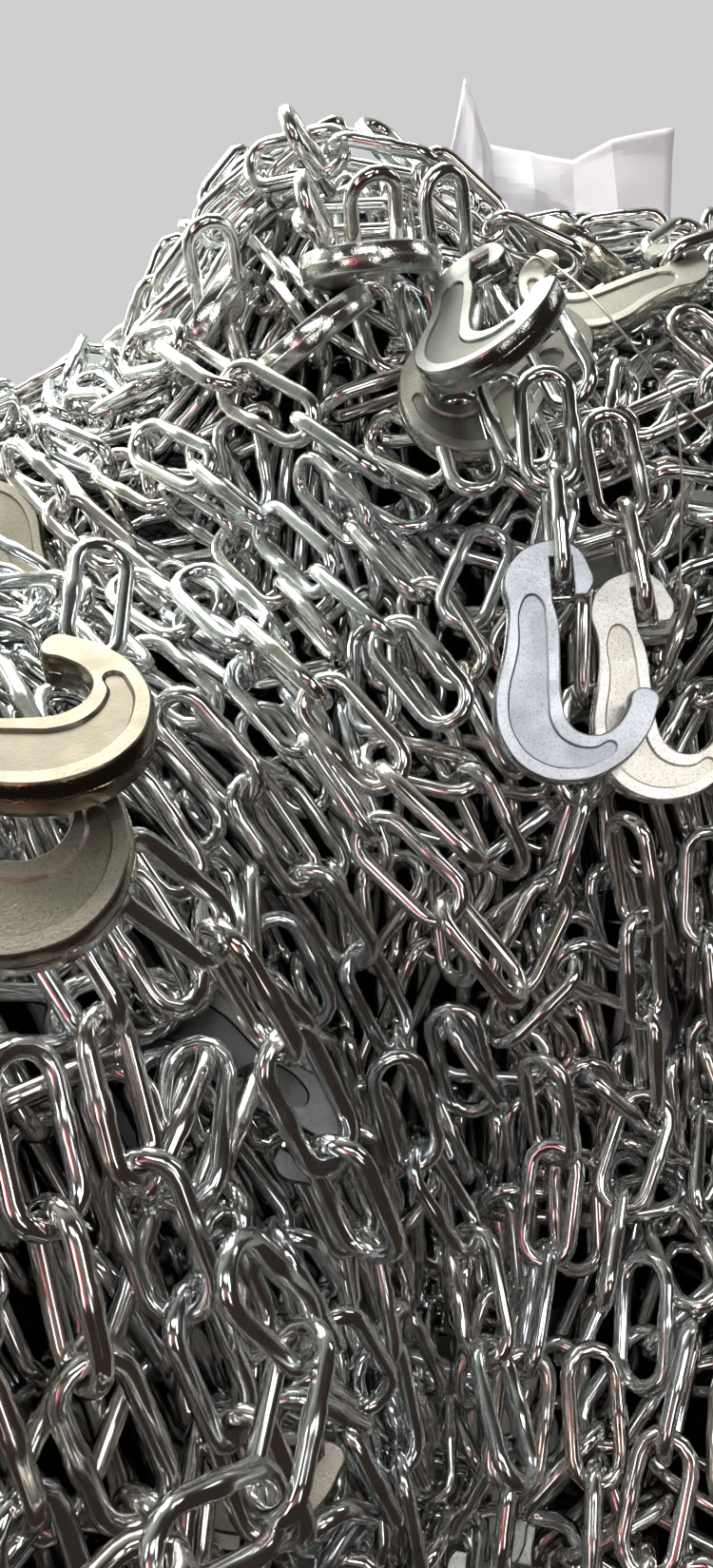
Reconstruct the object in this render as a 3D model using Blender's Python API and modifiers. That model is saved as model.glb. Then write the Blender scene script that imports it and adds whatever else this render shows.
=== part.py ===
"""Heap of bright long-link steel chain with forged C hooks, a bare paper label and tie wires.

Metres, +Z up. The origin is on the floor under the heap's peak, and -Y is the side that faces the viewer.
"""

import math
from collections import namedtuple

import bmesh
import bpy
import numpy as np
from mathutils import Matrix, Vector
from mathutils.bvhtree import BVHTree

# Chain: 13 mm wire in long links, each hanging in the next. A crown swells a little, and is fused to the
# one that it bears on by the bite.
WIRE = 0.013
LINK_INSIDE = 0.082
LINK_WIDTH = 0.052
CROWN_STEPS = 3
CROWN_SWELL = 1.10
CROWN_BITE = 0.0041
RIDGE_TILT = math.radians(30)
LAID_LIFT = 0.024
ROLL_WOBBLE = 14.0
ROLL_BEAT = 2.1
ROUTE_STEPS = 16
RUN_ON_STEP = 0.01
RUN_ON_STEPS = 60

# Forged hook: a thick plate with a bowl, a shank and an eye slot that a pin closes
HOOK_THICKNESS = 0.023
SLOT_WIDTH = 0.0144
SLOT_LEFT = -0.0104
SLOT_TOP = 0.080
SLOT_FOOT = 0.046
BLOCK_END = 0.049
PIN_DIAMETER = 0.005
PIN_STEPS = 10
HOOK_ROUND_STEPS = 2
HOOK_CREASE = math.radians(40)

# Clearances between solids
GAP = 0.0003
POCKET_GAP = 0.0006
CROWN_GAP = 0.0009

# Settling: a piece backs out until it is free, and slides in until it touches
SLIDE_FAR = 0.30
SLIDE_STEP = 0.004
SLIDE_PRECISION = 0.00004

# Mound: lobes that run into each other, and long low lumps on them
Lobe = namedtuple("Lobe", "x y half_x half_y height shoulder fall")
LOBES = (
    Lobe(0.24, 0.18, 0.84, 0.70, 0.965, 3.2, 0.80),
    Lobe(-0.01, 0.05, 0.27, 0.36, 1.01, 2.6, 0.72),
    Lobe(-0.44, 0.06, 0.48, 0.60, 0.81, 3.2, 0.80),
    Lobe(-0.33, -0.53, 0.38, 0.57, 0.775, 2.2, 0.85),
    Lobe(0.10, -0.31, 0.24, 0.24, 0.68, 2.6, 0.80),
    Lobe(-0.14, -0.34, 0.26, 0.28, 0.65, 2.6, 0.80),
    Lobe(0.36, -0.44, 0.40, 0.42, 0.26, 2.4, 0.80),
)
LOBE_BLEND = 8.0
LUMP_HEIGHT = 0.012
LUMP_LENGTH = 0.31
LUMP_WAYS = ((1.0, 0.4), (-0.3, 0.8))
LUMP_PHASE = 1.0
LUMP_FADE = 10.0
MOUND_CENTRE = (0.0, -0.06)
MOUND_SEGMENTS = 44
MOUND_RINGS = 28
EDGE_STEP = 0.002
RIM_HEIGHT = 0.004
CORE_CREASE = math.radians(50)

# Line of sight of the photograph, 750 by 1649 pixels, for the points that are picked on it
EYE = Vector((0.0, -1.25, 1.0))
LOOK_DOWN = math.radians(26.0)
LEAN = math.radians(2.5)
FOCAL_PIXELS = 1191.0
MIDDLE_PIXEL = (375.0, 824.5)
SIGHT_START = 0.2
SIGHT_STEP = 0.01
SIGHT_END = 2.4
HALVINGS = 20

# Hook outline in its own plane, round the eye, down the back, round the bowl and up to the slot.
# "r" is a rounded point and "c" a corner.
HOOK_BACK = (
    (-0.0150, 0.0960, "r"),
    (-0.0350, 0.0880, "r"),
    (-0.0485, 0.0660, "r"),
    (-0.0465, 0.0420, "r"),
    (-0.0510, 0.0120, "r"),
    (-0.0630, -0.0340, "r"),
    (-0.0570, -0.0650, "r"),
    (-0.0360, -0.0880, "r"),
    (-0.0030, -0.0945, "r"),
    (0.0270, -0.0850, "r"),
    (0.0500, -0.0650, "r"),
    (0.0620, -0.0420, "r"),
)
HOOK_MOUTH = (
    (0.0640, -0.0310, "r"),
    (0.0550, -0.0240, "r"),
    (0.0440, -0.0260, "r"),
    (0.0390, -0.0380, "r"),
    (0.0260, -0.0540, "r"),
    (0.0100, -0.0580, "r"),
    (-0.0050, -0.0490, "r"),
    (-0.0095, -0.0320, "r"),
    (-0.0085, 0.0000, "r"),
    (-0.0075, 0.0300, "r"),
)
HOOK_BOW = (
    (0.0220, 0.0600, "r"),
    (0.0195, 0.0730, "r"),
    (0.0120, 0.0880, "r"),
    (0.0000, 0.0955, "r"),
)
BLOCK_CORNER_X = 0.0160

# Where each hook lies: pixel of its middle, then its bank, tilt, spin and turn in degrees as the
# viewer sees it. A bedded hook is part buried, its middle this far behind the mound's surface.
HookPlace = namedtuple("HookPlace", "name pixel bank tilt spin turn bed links")
HOOKS = (
    HookPlace("hook_peak_flat", (392, 286), 6, -74, 6, 0, 0.005, 0),
    HookPlace("hook_peak_slant", (324, 360), 38, -74, 0, 0, 0.01, 0),
    HookPlace("hook_left_crest", (216, 350), 58, -76, 0, 0, 0.01, 0),
    HookPlace("hook_left_edge", (150, 402), 86, -74, 0, 180, 0.06, 0),
    HookPlace("hook_right_low", (640, 1030), 0, -6, 6, 150, 0.05, 0),
    HookPlace("hook_low_dark", (230, 1160), 0, -20, 118, 0, 0.03, 0),
    HookPlace("hook_right_eye", (640, 300), 0, -34, 62, 180, None, 2),
    HookPlace("hook_cream", (519, 396), 0, -24, 44, 180, None, 0),
    HookPlace("hook_upright", (514, 324), 42, -52, 34, 0, None, 0),
    HookPlace("hook_right_back", (694, 722), 0, -10, -8, 0, None, 2),
    HookPlace("hook_front", (600, 697), 0, -8, -3, 0, None, 2),
    HookPlace("hook_left_lower", (-50, 888), 0, -34, -82, 0, None, 0),
    HookPlace("hook_left_upper", (-26, 758), 0, -48, -90, 0, None, 0),
)

# Strands that show on the photograph: pixels that they pass, links, and roll of the first link
Strand = namedtuple("Strand", "name points links roll")
FRONT_STRANDS = (
    Strand("strand_crest_left", ((172, 392), (275, 425), (375, 486), (452, 560)), 4, 12),
    Strand("strand_shoulder", ((60, 482), (165, 520), (258, 575), (330, 650), (392, 742)), 5, 70),
    Strand("strand_upper_mid", ((176, 482), (285, 548), (362, 622), (440, 705), (505, 800)), 5, 10),
    Strand("strand_mid_right", ((332, 505), (412, 590), (478, 690), (528, 790), (560, 880)), 4, 20),
    Strand("strand_left_drop", ((20, 505), (80, 560), (140, 610), (205, 668)), 4, 80),
    Strand("strand_mid", ((150, 650), (245, 728), (330, 812), (420, 890), (500, 985), (560, 1070)), 6, 15),
    Strand("strand_mid_low", ((165, 765), (245, 850), (320, 960), (400, 1060), (452, 1150)), 5, 75),
    Strand("strand_low_left", ((120, 955), (205, 1020), (268, 1130), (320, 1235)), 4, 30),
    Strand("strand_near_left", ((10, 960), (80, 1075), (112, 1210), (150, 1330), (196, 1440)), 5, 70),
    Strand("strand_near_edge", ((0, 1120), (28, 1240), (40, 1370), (92, 1500)), 4, 10),
    Strand("strand_near_bottom", ((215, 1350), (300, 1450), (262, 1560), (130, 1625)), 4, 5),
    Strand("strand_low_mid", ((300, 1215), (345, 1320), (365, 1440), (390, 1560)), 4, 40),
    Strand("strand_valley", ((415, 1120), (455, 1230), (505, 1330), (540, 1450)), 4, 0),
    Strand("strand_right_hang", ((640, 870), (655, 960), (660, 1060), (664, 1160), (650, 1290)), 5, 85),
    Strand("strand_right_side", ((735, 880), (732, 1000), (742, 1110), (740, 1250)), 4, 20),
    Strand("strand_right_top", ((560, 500), (650, 470), (735, 430)), 3, 50),
    Strand("strand_peak", ((285, 200), (340, 188), (400, 186), (450, 210), (500, 262)), 4, 35),
    Strand("strand_mid_upper", ((235, 640), (310, 715), (385, 785), (455, 855), (500, 900)), 4, 5),
    Strand("strand_foot", ((560, 1110), (572, 1210), (585, 1320), (570, 1430)), 5, 50),
)

# Strands on the sides and back: floor-plan points that they pass
SIDE_STRANDS = (
    Strand("strand_left_side", ((-0.36, 0.06), (-0.60, -0.10), (-0.74, -0.06), (-0.80, 0.06)), 6, 20),
    Strand("strand_left_back", ((-0.22, 0.20), (-0.44, 0.42), (-0.52, 0.58), (-0.50, 0.70)), 7, 60),
    Strand("strand_back_left", ((-0.06, 0.30), (-0.14, 0.58), (-0.06, 0.74), (-0.04, 0.84)), 8, 10),
    Strand("strand_back", ((0.20, 0.28), (0.26, 0.56), (0.38, 0.74), (0.36, 0.86)), 8, 45),
    Strand("strand_back_right", ((0.44, 0.24), (0.66, 0.46), (0.82, 0.60)), 7, 80),
    Strand("strand_right_back", ((0.60, 0.04), (0.86, 0.16), (0.99, 0.26)), 6, 15),
    Strand("strand_right_flank", ((0.50, -0.06), (0.66, -0.28), (0.78, -0.40)), 6, 60),
    Strand("strand_lobe_left", ((-0.42, -0.40), (-0.56, -0.62), (-0.54, -0.84)), 6, 30),
)

# Paper label: pixels of its top and bottom edges from left to right, and how far each column bulges
LABEL_TOP = ((471, 156), (486, 74), (503, 118), (517, 125), (560, 127), (606, 138), (645, 122), (713, 107))
LABEL_BOTTOM = ((473, 176), (492, 205), (507, 222), (520, 234), (560, 237), (606, 237), (650, 237), (703, 237))
LABEL_BULGE = (-0.012, 0.004, 0.006, -0.006, 0.006, -0.004, 0.008, -0.004)
LABEL_THICKNESS = 0.0004
LABEL_ROWS = 4
LABEL_DISTANCE = 1.26
LABEL_DROP = (0.0, 0.12, -1.0)
LABEL_FOLD_FROM = 0.25
LABEL_FOLD_TURNS = 0.6

# Tie wires: thin steel wire between the links
TIE_WIRE = 0.0022
TIE_WIRES = (
    ("tie_wire_top", ((522, 296), (560, 306), (600, 326), (645, 368), (690, 428), (748, 492))),
    ("tie_wire_right", ((700, 452), (703, 520), (699, 590), (697, 640))),
)
TIE_WIRE_LIFT = 0.03
TIE_WIRE_STEPS = 5

ZINC = (0.62, 0.63, 0.64)
CAST_ZINC = (0.56, 0.55, 0.52)
DARK_STEEL = (0.12, 0.12, 0.12)
PAPER = (0.80, 0.79, 0.83)
WIRE_GREY = (0.40, 0.40, 0.40)


def clear_scene():
    """Remove every object of the startup scene."""
    for old in list(bpy.data.objects):
        bpy.data.objects.remove(old, do_unlink=True)


def make_collection(name):
    """Return a new collection linked to the scene."""
    made = bpy.data.collections.new(name)
    bpy.context.scene.collection.children.link(made)
    return made


def make_material(name, colour, roughness, metallic):
    """Return a Principled material."""
    material = bpy.data.materials.new(name)
    material.use_nodes = True
    shader = material.node_tree.nodes["Principled BSDF"]
    shader.inputs["Base Color"].default_value = (*colour, 1.0)
    shader.inputs["Roughness"].default_value = roughness
    shader.inputs["Metallic"].default_value = metallic
    return material


def mound_height(x, y):
    """Height of the mound over a floor point, without the rim's minimum."""
    total = 0.0
    for lobe in LOBES:
        away = math.hypot((x - lobe.x) / lobe.half_x, (y - lobe.y) / lobe.half_y)
        if away < 1.0:
            total += (lobe.height * (1.0 - away ** lobe.shoulder) ** lobe.fall) ** LOBE_BLEND
    if total <= 0.0:
        return 0.0
    height = total ** (1.0 / LOBE_BLEND)
    wave = 2.0 * math.pi / LUMP_LENGTH
    first, second = (wave * (x * way[0] + y * way[1]) for way in LUMP_WAYS)
    lump = math.sin(first) * math.cos(second + LUMP_PHASE)
    return max(0.0, height + LUMP_HEIGHT * lump * min(1.0, height / (LUMP_FADE * LUMP_HEIGHT)))


def mound_normal(x, y):
    """Outward unit normal of the mound, taken over a link's width."""
    reach = 0.5 * LINK_WIDTH
    slope_x = (mound_height(x + reach, y) - mound_height(x - reach, y)) / (2.0 * reach)
    slope_y = (mound_height(x, y + reach) - mound_height(x, y - reach)) / (2.0 * reach)
    return Vector((-slope_x, -slope_y, 1.0)).normalized()


def view_axes():
    """Right, up and towards-the-eye directions of the photograph."""
    level_right = Vector((1.0, 0.0, 0.0))
    back = Vector((0.0, -math.cos(LOOK_DOWN), math.sin(LOOK_DOWN)))
    level_up = back.cross(level_right)
    right = level_right * math.cos(LEAN) - level_up * math.sin(LEAN)
    up = level_right * math.sin(LEAN) + level_up * math.cos(LEAN)
    return right, up, back


def sight(pixel):
    """Direction from the eye through a pixel, one metre deep."""
    right, up, back = view_axes()
    across = (pixel[0] - MIDDLE_PIXEL[0]) / FOCAL_PIXELS
    down = (pixel[1] - MIDDLE_PIXEL[1]) / FOCAL_PIXELS
    return right * across - up * down - back


def on_mound(pixel):
    """Point where the line of sight through a pixel meets the mound."""
    direction = sight(pixel)
    near = SIGHT_START
    far = near
    while far < SIGHT_END:
        far += SIGHT_STEP
        point = EYE + direction * far
        if point.z <= mound_height(point.x, point.y):
            break
        near = far
    for _ in range(HALVINGS):
        middle = 0.5 * (near + far)
        point = EYE + direction * middle
        if point.z <= mound_height(point.x, point.y):
            far = middle
        else:
            near = middle
    return EYE + direction * near


def smooth_route(points, steps=ROUTE_STEPS):
    """Catmull-Rom curve through floor-plan points."""
    ends = [2 * np.array(points[0]) - points[1], *map(np.array, points), 2 * np.array(points[-1]) - points[-2]]
    route = []
    for before, start, end, after in zip(ends, ends[1:], ends[2:], ends[3:]):
        for step in range(steps):
            t = step / steps
            route.append(
                0.5 * (2 * start + (end - before) * t
                       + (2 * before - 5 * start + 4 * end - after) * t ** 2
                       + (3 * start - before - 3 * end + after) * t ** 3)
            )
    route.append(ends[-2])
    return route


def laid_route(points, lift):
    """The smooth route raised onto the mound, with a straight run-on past its end."""
    flat = smooth_route(points)
    run_on = flat[-1] - flat[-2]
    run_on = run_on / np.linalg.norm(run_on)
    flat.extend([flat[-1] + run_on * RUN_ON_STEP * step for step in range(1, RUN_ON_STEPS)])
    route = []
    for x, y in flat:
        normal = mound_normal(x, y)
        route.append(Vector((x, y, mound_height(x, y))) + normal * lift)
    return route


def chain_nodes(route, links):
    """Points along a route, one link's pitch apart in a straight line."""
    nodes = [route[0]]
    index = 0
    while len(nodes) <= links:
        while index < len(route) - 1 and (route[index + 1] - nodes[-1]).length < LINK_INSIDE:
            index += 1
        if index >= len(route) - 1:
            nodes.append(nodes[-1] + (nodes[-1] - nodes[-2]).normalized() * LINK_INSIDE)
            continue
        start, end = route[index], route[index + 1]
        low, high = 0.0, 1.0
        for _ in range(HALVINGS):
            middle = 0.5 * (low + high)
            if (start.lerp(end, middle) - nodes[-1]).length < LINK_INSIDE:
                low = middle
            else:
                high = middle
        nodes.append(start.lerp(end, low))
    return nodes


def link_frame(start, end, roll, normal):
    """Matrix of a link between two nodes: X along it, Y across its opening."""
    along = (end - start).normalized()
    side = normal.cross(along).normalized()
    across = Matrix.Rotation(roll, 3, along) @ side
    frame = Matrix((along, across, along.cross(across))).transposed().to_4x4()
    frame.translation = 0.5 * (start + end)
    return frame


def crown_reach():
    """How far a crown's middle lies past the point where two links bear on each other."""
    return 0.5 * (CROWN_SWELL * WIRE - CROWN_BITE)


def link_path():
    """Centreline points of one link that lies flat, with the tube's swell at each."""
    radius = 0.5 * (LINK_WIDTH - WIRE)
    centre = 0.5 * LINK_INSIDE + crown_reach() - radius * math.cos(0.5 * math.pi / CROWN_STEPS)
    path = []
    for side in (1.0, -1.0):
        for step in range(CROWN_STEPS + 1):
            angle = math.pi * (step / CROWN_STEPS - 0.5)
            x = side * (centre + radius * math.cos(angle))
            y = side * radius * math.sin(angle)
            inner = 0 < step < CROWN_STEPS
            path.append((Vector((x, y, 0.0)), CROWN_SWELL if inner else 1.0))
    return path


def tube_curve(name, paths, radius, cyclic, tilt=0.0):
    """Curve object with one six-sided tube for each path of (point, swell)."""
    curve = bpy.data.curves.new(name, "CURVE")
    curve.dimensions = "3D"
    curve.bevel_depth = radius
    curve.bevel_resolution = 1
    curve.use_fill_caps = not cyclic
    for path in paths:
        spline = curve.splines.new("POLY")
        spline.points.add(len(path) - 1)
        for control, (point, swell) in zip(spline.points, path):
            control.co = (*point, 1.0)
            control.radius = swell
            control.tilt = tilt
        spline.use_cyclic_u = cyclic
    return bpy.data.objects.new(name, curve)


def to_mesh(source, collection, material, name):
    """Replace a curve object by a welded mesh object, and return it."""
    bpy.context.scene.collection.objects.link(source)
    bpy.context.view_layer.update()
    graph = bpy.context.evaluated_depsgraph_get()
    mesh = bpy.data.meshes.new_from_object(source.evaluated_get(graph))
    mesh.name = name
    matrix = source.matrix_world.copy()
    bpy.data.objects.remove(source, do_unlink=True)
    form = bmesh.new()
    form.from_mesh(mesh)
    bmesh.ops.remove_doubles(form, verts=form.verts, dist=0.00001)
    bmesh.ops.recalc_face_normals(form, faces=form.faces)
    form.to_mesh(mesh)
    form.free()
    mesh.materials.clear()
    mesh.materials.append(material)
    made = bpy.data.objects.new(name, mesh)
    made.matrix_world = matrix
    collection.objects.link(made)
    return made


def as_cutter(piece):
    """Mark an object as a helper that is never shown."""
    piece.hide_render = True
    piece.display_type = "WIRE"


def join_by_boolean(piece, other, operation):
    """Add a Boolean of another object to a piece."""
    modifier = piece.modifiers.new(other.name, "BOOLEAN")
    modifier.operation = operation
    modifier.solver = "EXACT"
    modifier.object = other
    as_cutter(other)


def faces_of(pieces):
    """Corner points in world space and polygons of a group of objects, before their modifiers."""
    points, polygons = [], []
    for piece in pieces:
        start = len(points)
        points.extend(piece.matrix_world @ vertex.co for vertex in piece.data.vertices)
        polygons.extend([start + corner for corner in face.vertices] for face in piece.data.polygons)
    return points, polygons


class Pile:
    """What is already in place, for the next piece to come to rest on."""

    def __init__(self):
        self.points = []
        self.polygons = []

    def add(self, pieces):
        """Take in a group of objects where they are."""
        points, polygons = faces_of(pieces)
        start = len(self.points)
        self.points.extend(points)
        self.polygons.extend([start + corner for corner in face] for face in polygons)

    def settle(self, pieces, direction):
        """Move a group along a direction to where it rests a gap away from the pile, and add it."""
        pile = BVHTree.FromPolygons(self.points, self.polygons)
        points, polygons = faces_of(pieces)
        direction = direction.normalized()

        def touches(shift):
            moved = [point + direction * shift for point in points]
            return bool(BVHTree.FromPolygons(moved, polygons).overlap(pile))

        free = 0.0
        while touches(free):
            free -= SLIDE_STEP
        held = free + SLIDE_STEP
        while not touches(held) and held < SLIDE_FAR:
            free = held
            held += SLIDE_STEP
        while held - free > SLIDE_PRECISION:
            middle = 0.5 * (free + held)
            if touches(middle):
                held = middle
            else:
                free = middle
        shift = Matrix.Translation(direction * (free - GAP))
        for piece in pieces:
            piece.matrix_world = shift @ piece.matrix_world
        bpy.context.view_layer.update()
        self.add(pieces)


def mound_edge(angle):
    """Distance from the mound's centre to its edge in one direction."""
    reach = max(
        math.hypot(lobe.x - MOUND_CENTRE[0], lobe.y - MOUND_CENTRE[1]) + max(lobe.half_x, lobe.half_y)
        for lobe in LOBES
    )
    direction = (math.cos(angle), math.sin(angle))
    while reach > EDGE_STEP:
        x = MOUND_CENTRE[0] + reach * direction[0]
        y = MOUND_CENTRE[1] + reach * direction[1]
        if mound_height(x, y) > RIM_HEIGHT:
            return reach
        reach -= EDGE_STEP
    return reach


def build_core(collection, material):
    """Closed dome for the chain that lies hidden inside the heap."""
    form = bmesh.new()
    bmesh.ops.create_uvsphere(form, u_segments=MOUND_SEGMENTS, v_segments=MOUND_RINGS, radius=1.0)
    geometry = form.verts[:] + form.edges[:] + form.faces[:]
    bmesh.ops.bisect_plane(form, geom=geometry, plane_co=(0, 0, 0), plane_no=(0, 0, -1), clear_outer=True)
    rim = [edge for edge in form.edges if edge.is_boundary]
    bmesh.ops.contextual_create(form, geom=rim)
    for vertex in form.verts:
        share = min(1.0, math.hypot(vertex.co.x, vertex.co.y))
        angle = math.atan2(vertex.co.y, vertex.co.x)
        at_rim = vertex.co.z < 1e-5
        reach = mound_edge(angle) * share
        x = MOUND_CENTRE[0] + reach * math.cos(angle)
        y = MOUND_CENTRE[1] + reach * math.sin(angle)
        z = 0.0 if at_rim else max(RIM_HEIGHT, mound_height(x, y))
        vertex.co = (x, y, z)
    bmesh.ops.recalc_face_normals(form, faces=form.faces)
    bmesh.ops.triangulate(form, faces=form.faces)
    mesh = bpy.data.meshes.new("heap_core")
    form.to_mesh(mesh)
    form.free()
    mesh.shade_smooth()
    mesh.set_sharp_from_angle(angle=CORE_CREASE)
    mesh.materials.append(material)
    core = bpy.data.objects.new("heap_core", mesh)
    collection.objects.link(core)
    return core


def outline_curve(name, points, thickness, offset):
    """Plate with the given outline, as a filled curve."""
    curve = bpy.data.curves.new(name, "CURVE")
    curve.dimensions = "2D"
    curve.fill_mode = "BOTH"
    curve.extrude = 0.5 * thickness
    curve.offset = offset
    curve.resolution_u = HOOK_ROUND_STEPS
    spline = curve.splines.new("BEZIER")
    spline.bezier_points.add(len(points) - 1)
    for control, (x, y, kind) in zip(spline.bezier_points, points):
        control.co = (x, y, 0.0)
        handle = "AUTO" if kind == "r" else "VECTOR"
        control.handle_left_type = handle
        control.handle_right_type = handle
    spline.use_cyclic_u = True
    return bpy.data.objects.new(name, curve)


def hook_outline():
    """The whole outline of a hook, with its slot open at the bottom."""
    slot_right = SLOT_LEFT + SLOT_WIDTH
    slot = (
        (SLOT_LEFT, SLOT_FOOT, "c"),
        (SLOT_LEFT, SLOT_TOP, "c"),
        (slot_right, SLOT_TOP, "c"),
        (slot_right, BLOCK_END, "c"),
        (BLOCK_CORNER_X, BLOCK_END, "c"),
    )
    return HOOK_BACK + HOOK_MOUTH + slot + HOOK_BOW


def hook_matrix(place):
    """Where a hook stands before it settles, facing as the viewer sees it."""
    right, up, back = view_axes()
    view = Matrix((right, up, back)).transposed().to_4x4()
    pose = (
        Matrix.Rotation(math.radians(place.bank), 4, "Z")
        @ Matrix.Rotation(math.radians(place.tilt), 4, "X")
        @ Matrix.Rotation(math.radians(-place.spin), 4, "Z")
        @ Matrix.Rotation(math.radians(place.turn), 4, "Y")
    )
    centre = on_mound(place.pixel) + sight(place.pixel) * (place.bed or 0.0)
    return Matrix.Translation(centre) @ view @ pose


def build_pin(name, matrix, collection, material):
    """Pin that closes the eye slot, wall to wall with a gap."""
    bpy.ops.mesh.primitive_cylinder_add(
        vertices=PIN_STEPS, radius=0.5 * PIN_DIAMETER, depth=SLOT_WIDTH - 2.0 * GAP
    )
    pin = bpy.context.object
    pin.name = name
    for holder in list(pin.users_collection):
        holder.objects.unlink(pin)
    collection.objects.link(pin)
    place = Vector((SLOT_LEFT + 0.5 * SLOT_WIDTH, BLOCK_END + 0.5 * PIN_DIAMETER, 0.0))
    pin.matrix_world = matrix @ Matrix.Translation(place) @ Matrix.Rotation(math.radians(90), 4, "Y")
    pin.data.shade_smooth()
    pin.data.set_sharp_from_angle(angle=HOOK_CREASE)
    pin.data.materials.append(material)
    return pin


def link_copies(name, link, frames, collection):
    """One object that holds a copy of the link at each frame."""
    form = bmesh.new()
    for frame in frames:
        start = len(form.verts)
        form.from_mesh(link)
        form.verts.ensure_lookup_table()
        bmesh.ops.transform(form, matrix=frame, verts=form.verts[start:])
    mesh = bpy.data.meshes.new(name)
    form.to_mesh(mesh)
    form.free()
    mesh.materials.append(link.materials[0])
    mesh.shade_smooth()
    copies = bpy.data.objects.new(name, mesh)
    collection.objects.link(copies)
    return copies


def build_chain(name, frames, collection, helpers, link):
    """One body of links: every second link, joined by a Boolean to those between them."""
    chain = link_copies(name, link, frames[0::2], collection)
    between = link_copies(name + "_between", link, frames[1::2], helpers)
    join_by_boolean(chain, between, "UNION")
    return [chain, between]


def eye_chain_frames(matrix, links):
    """Links that hang from a hook's eye, in the hook's own directions."""
    slot_middle = SLOT_LEFT + 0.5 * SLOT_WIDTH
    crown = BLOCK_END + PIN_DIAMETER + 0.5 * CROWN_SWELL * WIRE + CROWN_GAP
    start = matrix @ Vector((slot_middle, crown + crown_reach(), 0.0))
    along = (matrix.to_3x3() @ Vector((0.0, 1.0, 0.0))).normalized()
    facing = (matrix.to_3x3() @ Vector((0.0, 0.0, 1.0))).normalized()
    frames = []
    for index in range(links):
        roll = math.radians(90.0 * (index + 1))
        end = start + along * LINK_INSIDE
        frames.append(link_frame(start, end, roll, facing))
        start = end
    return frames


def clear_slot(name, matrix, depth, helpers, core):
    """Cut the core away where it would fill a bedded hook's slot."""
    bpy.ops.mesh.primitive_cube_add(size=1.0)
    block = bpy.context.object
    block.name = name
    for holder in list(block.users_collection):
        holder.objects.unlink(block)
    helpers.objects.link(block)
    low_y = BLOCK_END - PIN_DIAMETER
    middle = Vector((SLOT_LEFT + 0.5 * SLOT_WIDTH, 0.5 * (low_y + SLOT_TOP), 0.0))
    size = Matrix.Diagonal((SLOT_WIDTH + PIN_DIAMETER, SLOT_TOP - low_y, depth, 1.0))
    block.matrix_world = matrix @ Matrix.Translation(middle) @ size
    join_by_boolean(core, block, "DIFFERENCE")


def build_hook(place, pile, collection, helpers, materials, core, link):
    """Hook with its pin, and the links in its eye, come to rest on the pile."""
    matrix = hook_matrix(place)
    plate = outline_curve(place.name, hook_outline(), HOOK_THICKNESS, 0.0)
    plate.matrix_world = matrix
    hook = to_mesh(plate, collection, materials["cast"], place.name)
    hook.data.shade_smooth()
    hook.data.set_sharp_from_angle(angle=HOOK_CREASE)
    pin = build_pin(place.name + "_pin", matrix, collection, materials["zinc"])
    group = [hook, pin]
    if place.bed:
        pocket_depth = HOOK_THICKNESS + 2.0 * POCKET_GAP
        pocket = outline_curve("pocket", hook_outline(), pocket_depth, POCKET_GAP)
        pocket.matrix_world = matrix
        cutter = to_mesh(pocket, helpers, materials["cast"], place.name + "_pocket")
        join_by_boolean(core, cutter, "DIFFERENCE")
        clear_slot(place.name + "_slot", matrix, HOOK_THICKNESS + PIN_DIAMETER, helpers, core)
        bpy.context.view_layer.update()
        pile.add(group)
        return
    if place.links:
        frames = eye_chain_frames(matrix, place.links)
        group += build_chain(place.name + "_chain", frames, collection, helpers, link)
    bpy.context.view_layer.update()
    pile.settle(group, sight(place.pixel))


def build_strand(strand, points, direction, pile, collection, helpers, link):
    """Strand of links along floor-plan points, come to rest on the pile."""
    nodes = chain_nodes(laid_route(points, LAID_LIFT), strand.links)
    frames = []
    for index, (start, end) in enumerate(zip(nodes, nodes[1:])):
        middle = 0.5 * (start + end)
        wobble = ROLL_WOBBLE * math.sin(ROLL_BEAT * index + strand.roll)
        roll = math.radians(strand.roll + 90.0 * index + wobble)
        frames.append(link_frame(start, end, roll, mound_normal(middle.x, middle.y)))
    group = build_chain(strand.name, frames, collection, helpers, link)
    bpy.context.view_layer.update()
    if direction is None:
        middle = nodes[len(nodes) // 2]
        direction = -mound_normal(middle.x, middle.y)
    pile.settle(group, direction)


def build_label(pile, collection, material):
    """Crumpled paper sheet that stands on the crest, settled straight down."""
    columns = len(LABEL_TOP)
    form = bmesh.new()
    bmesh.ops.create_grid(form, x_segments=columns - 1, y_segments=LABEL_ROWS, size=0.5)
    back = view_axes()[2]
    for vertex in form.verts:
        column = round((vertex.co.x + 0.5) * (columns - 1))
        share = vertex.co.y + 0.5
        top = Vector(LABEL_TOP[column])
        bottom = Vector(LABEL_BOTTOM[column])
        fold = LABEL_BULGE[column] * math.sin(math.pi * (LABEL_FOLD_FROM + LABEL_FOLD_TURNS * share))
        vertex.co = EYE + sight(bottom.lerp(top, share)) * LABEL_DISTANCE + back * fold
    mesh = bpy.data.meshes.new("paper_label")
    form.to_mesh(mesh)
    form.free()
    mesh.materials.append(material)
    label = bpy.data.objects.new("paper_label", mesh)
    collection.objects.link(label)
    skin = label.modifiers.new("thickness", "SOLIDIFY")
    skin.thickness = LABEL_THICKNESS
    skin.offset = 0.0
    bpy.context.view_layer.update()
    pile.settle([label], Vector(LABEL_DROP))


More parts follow.
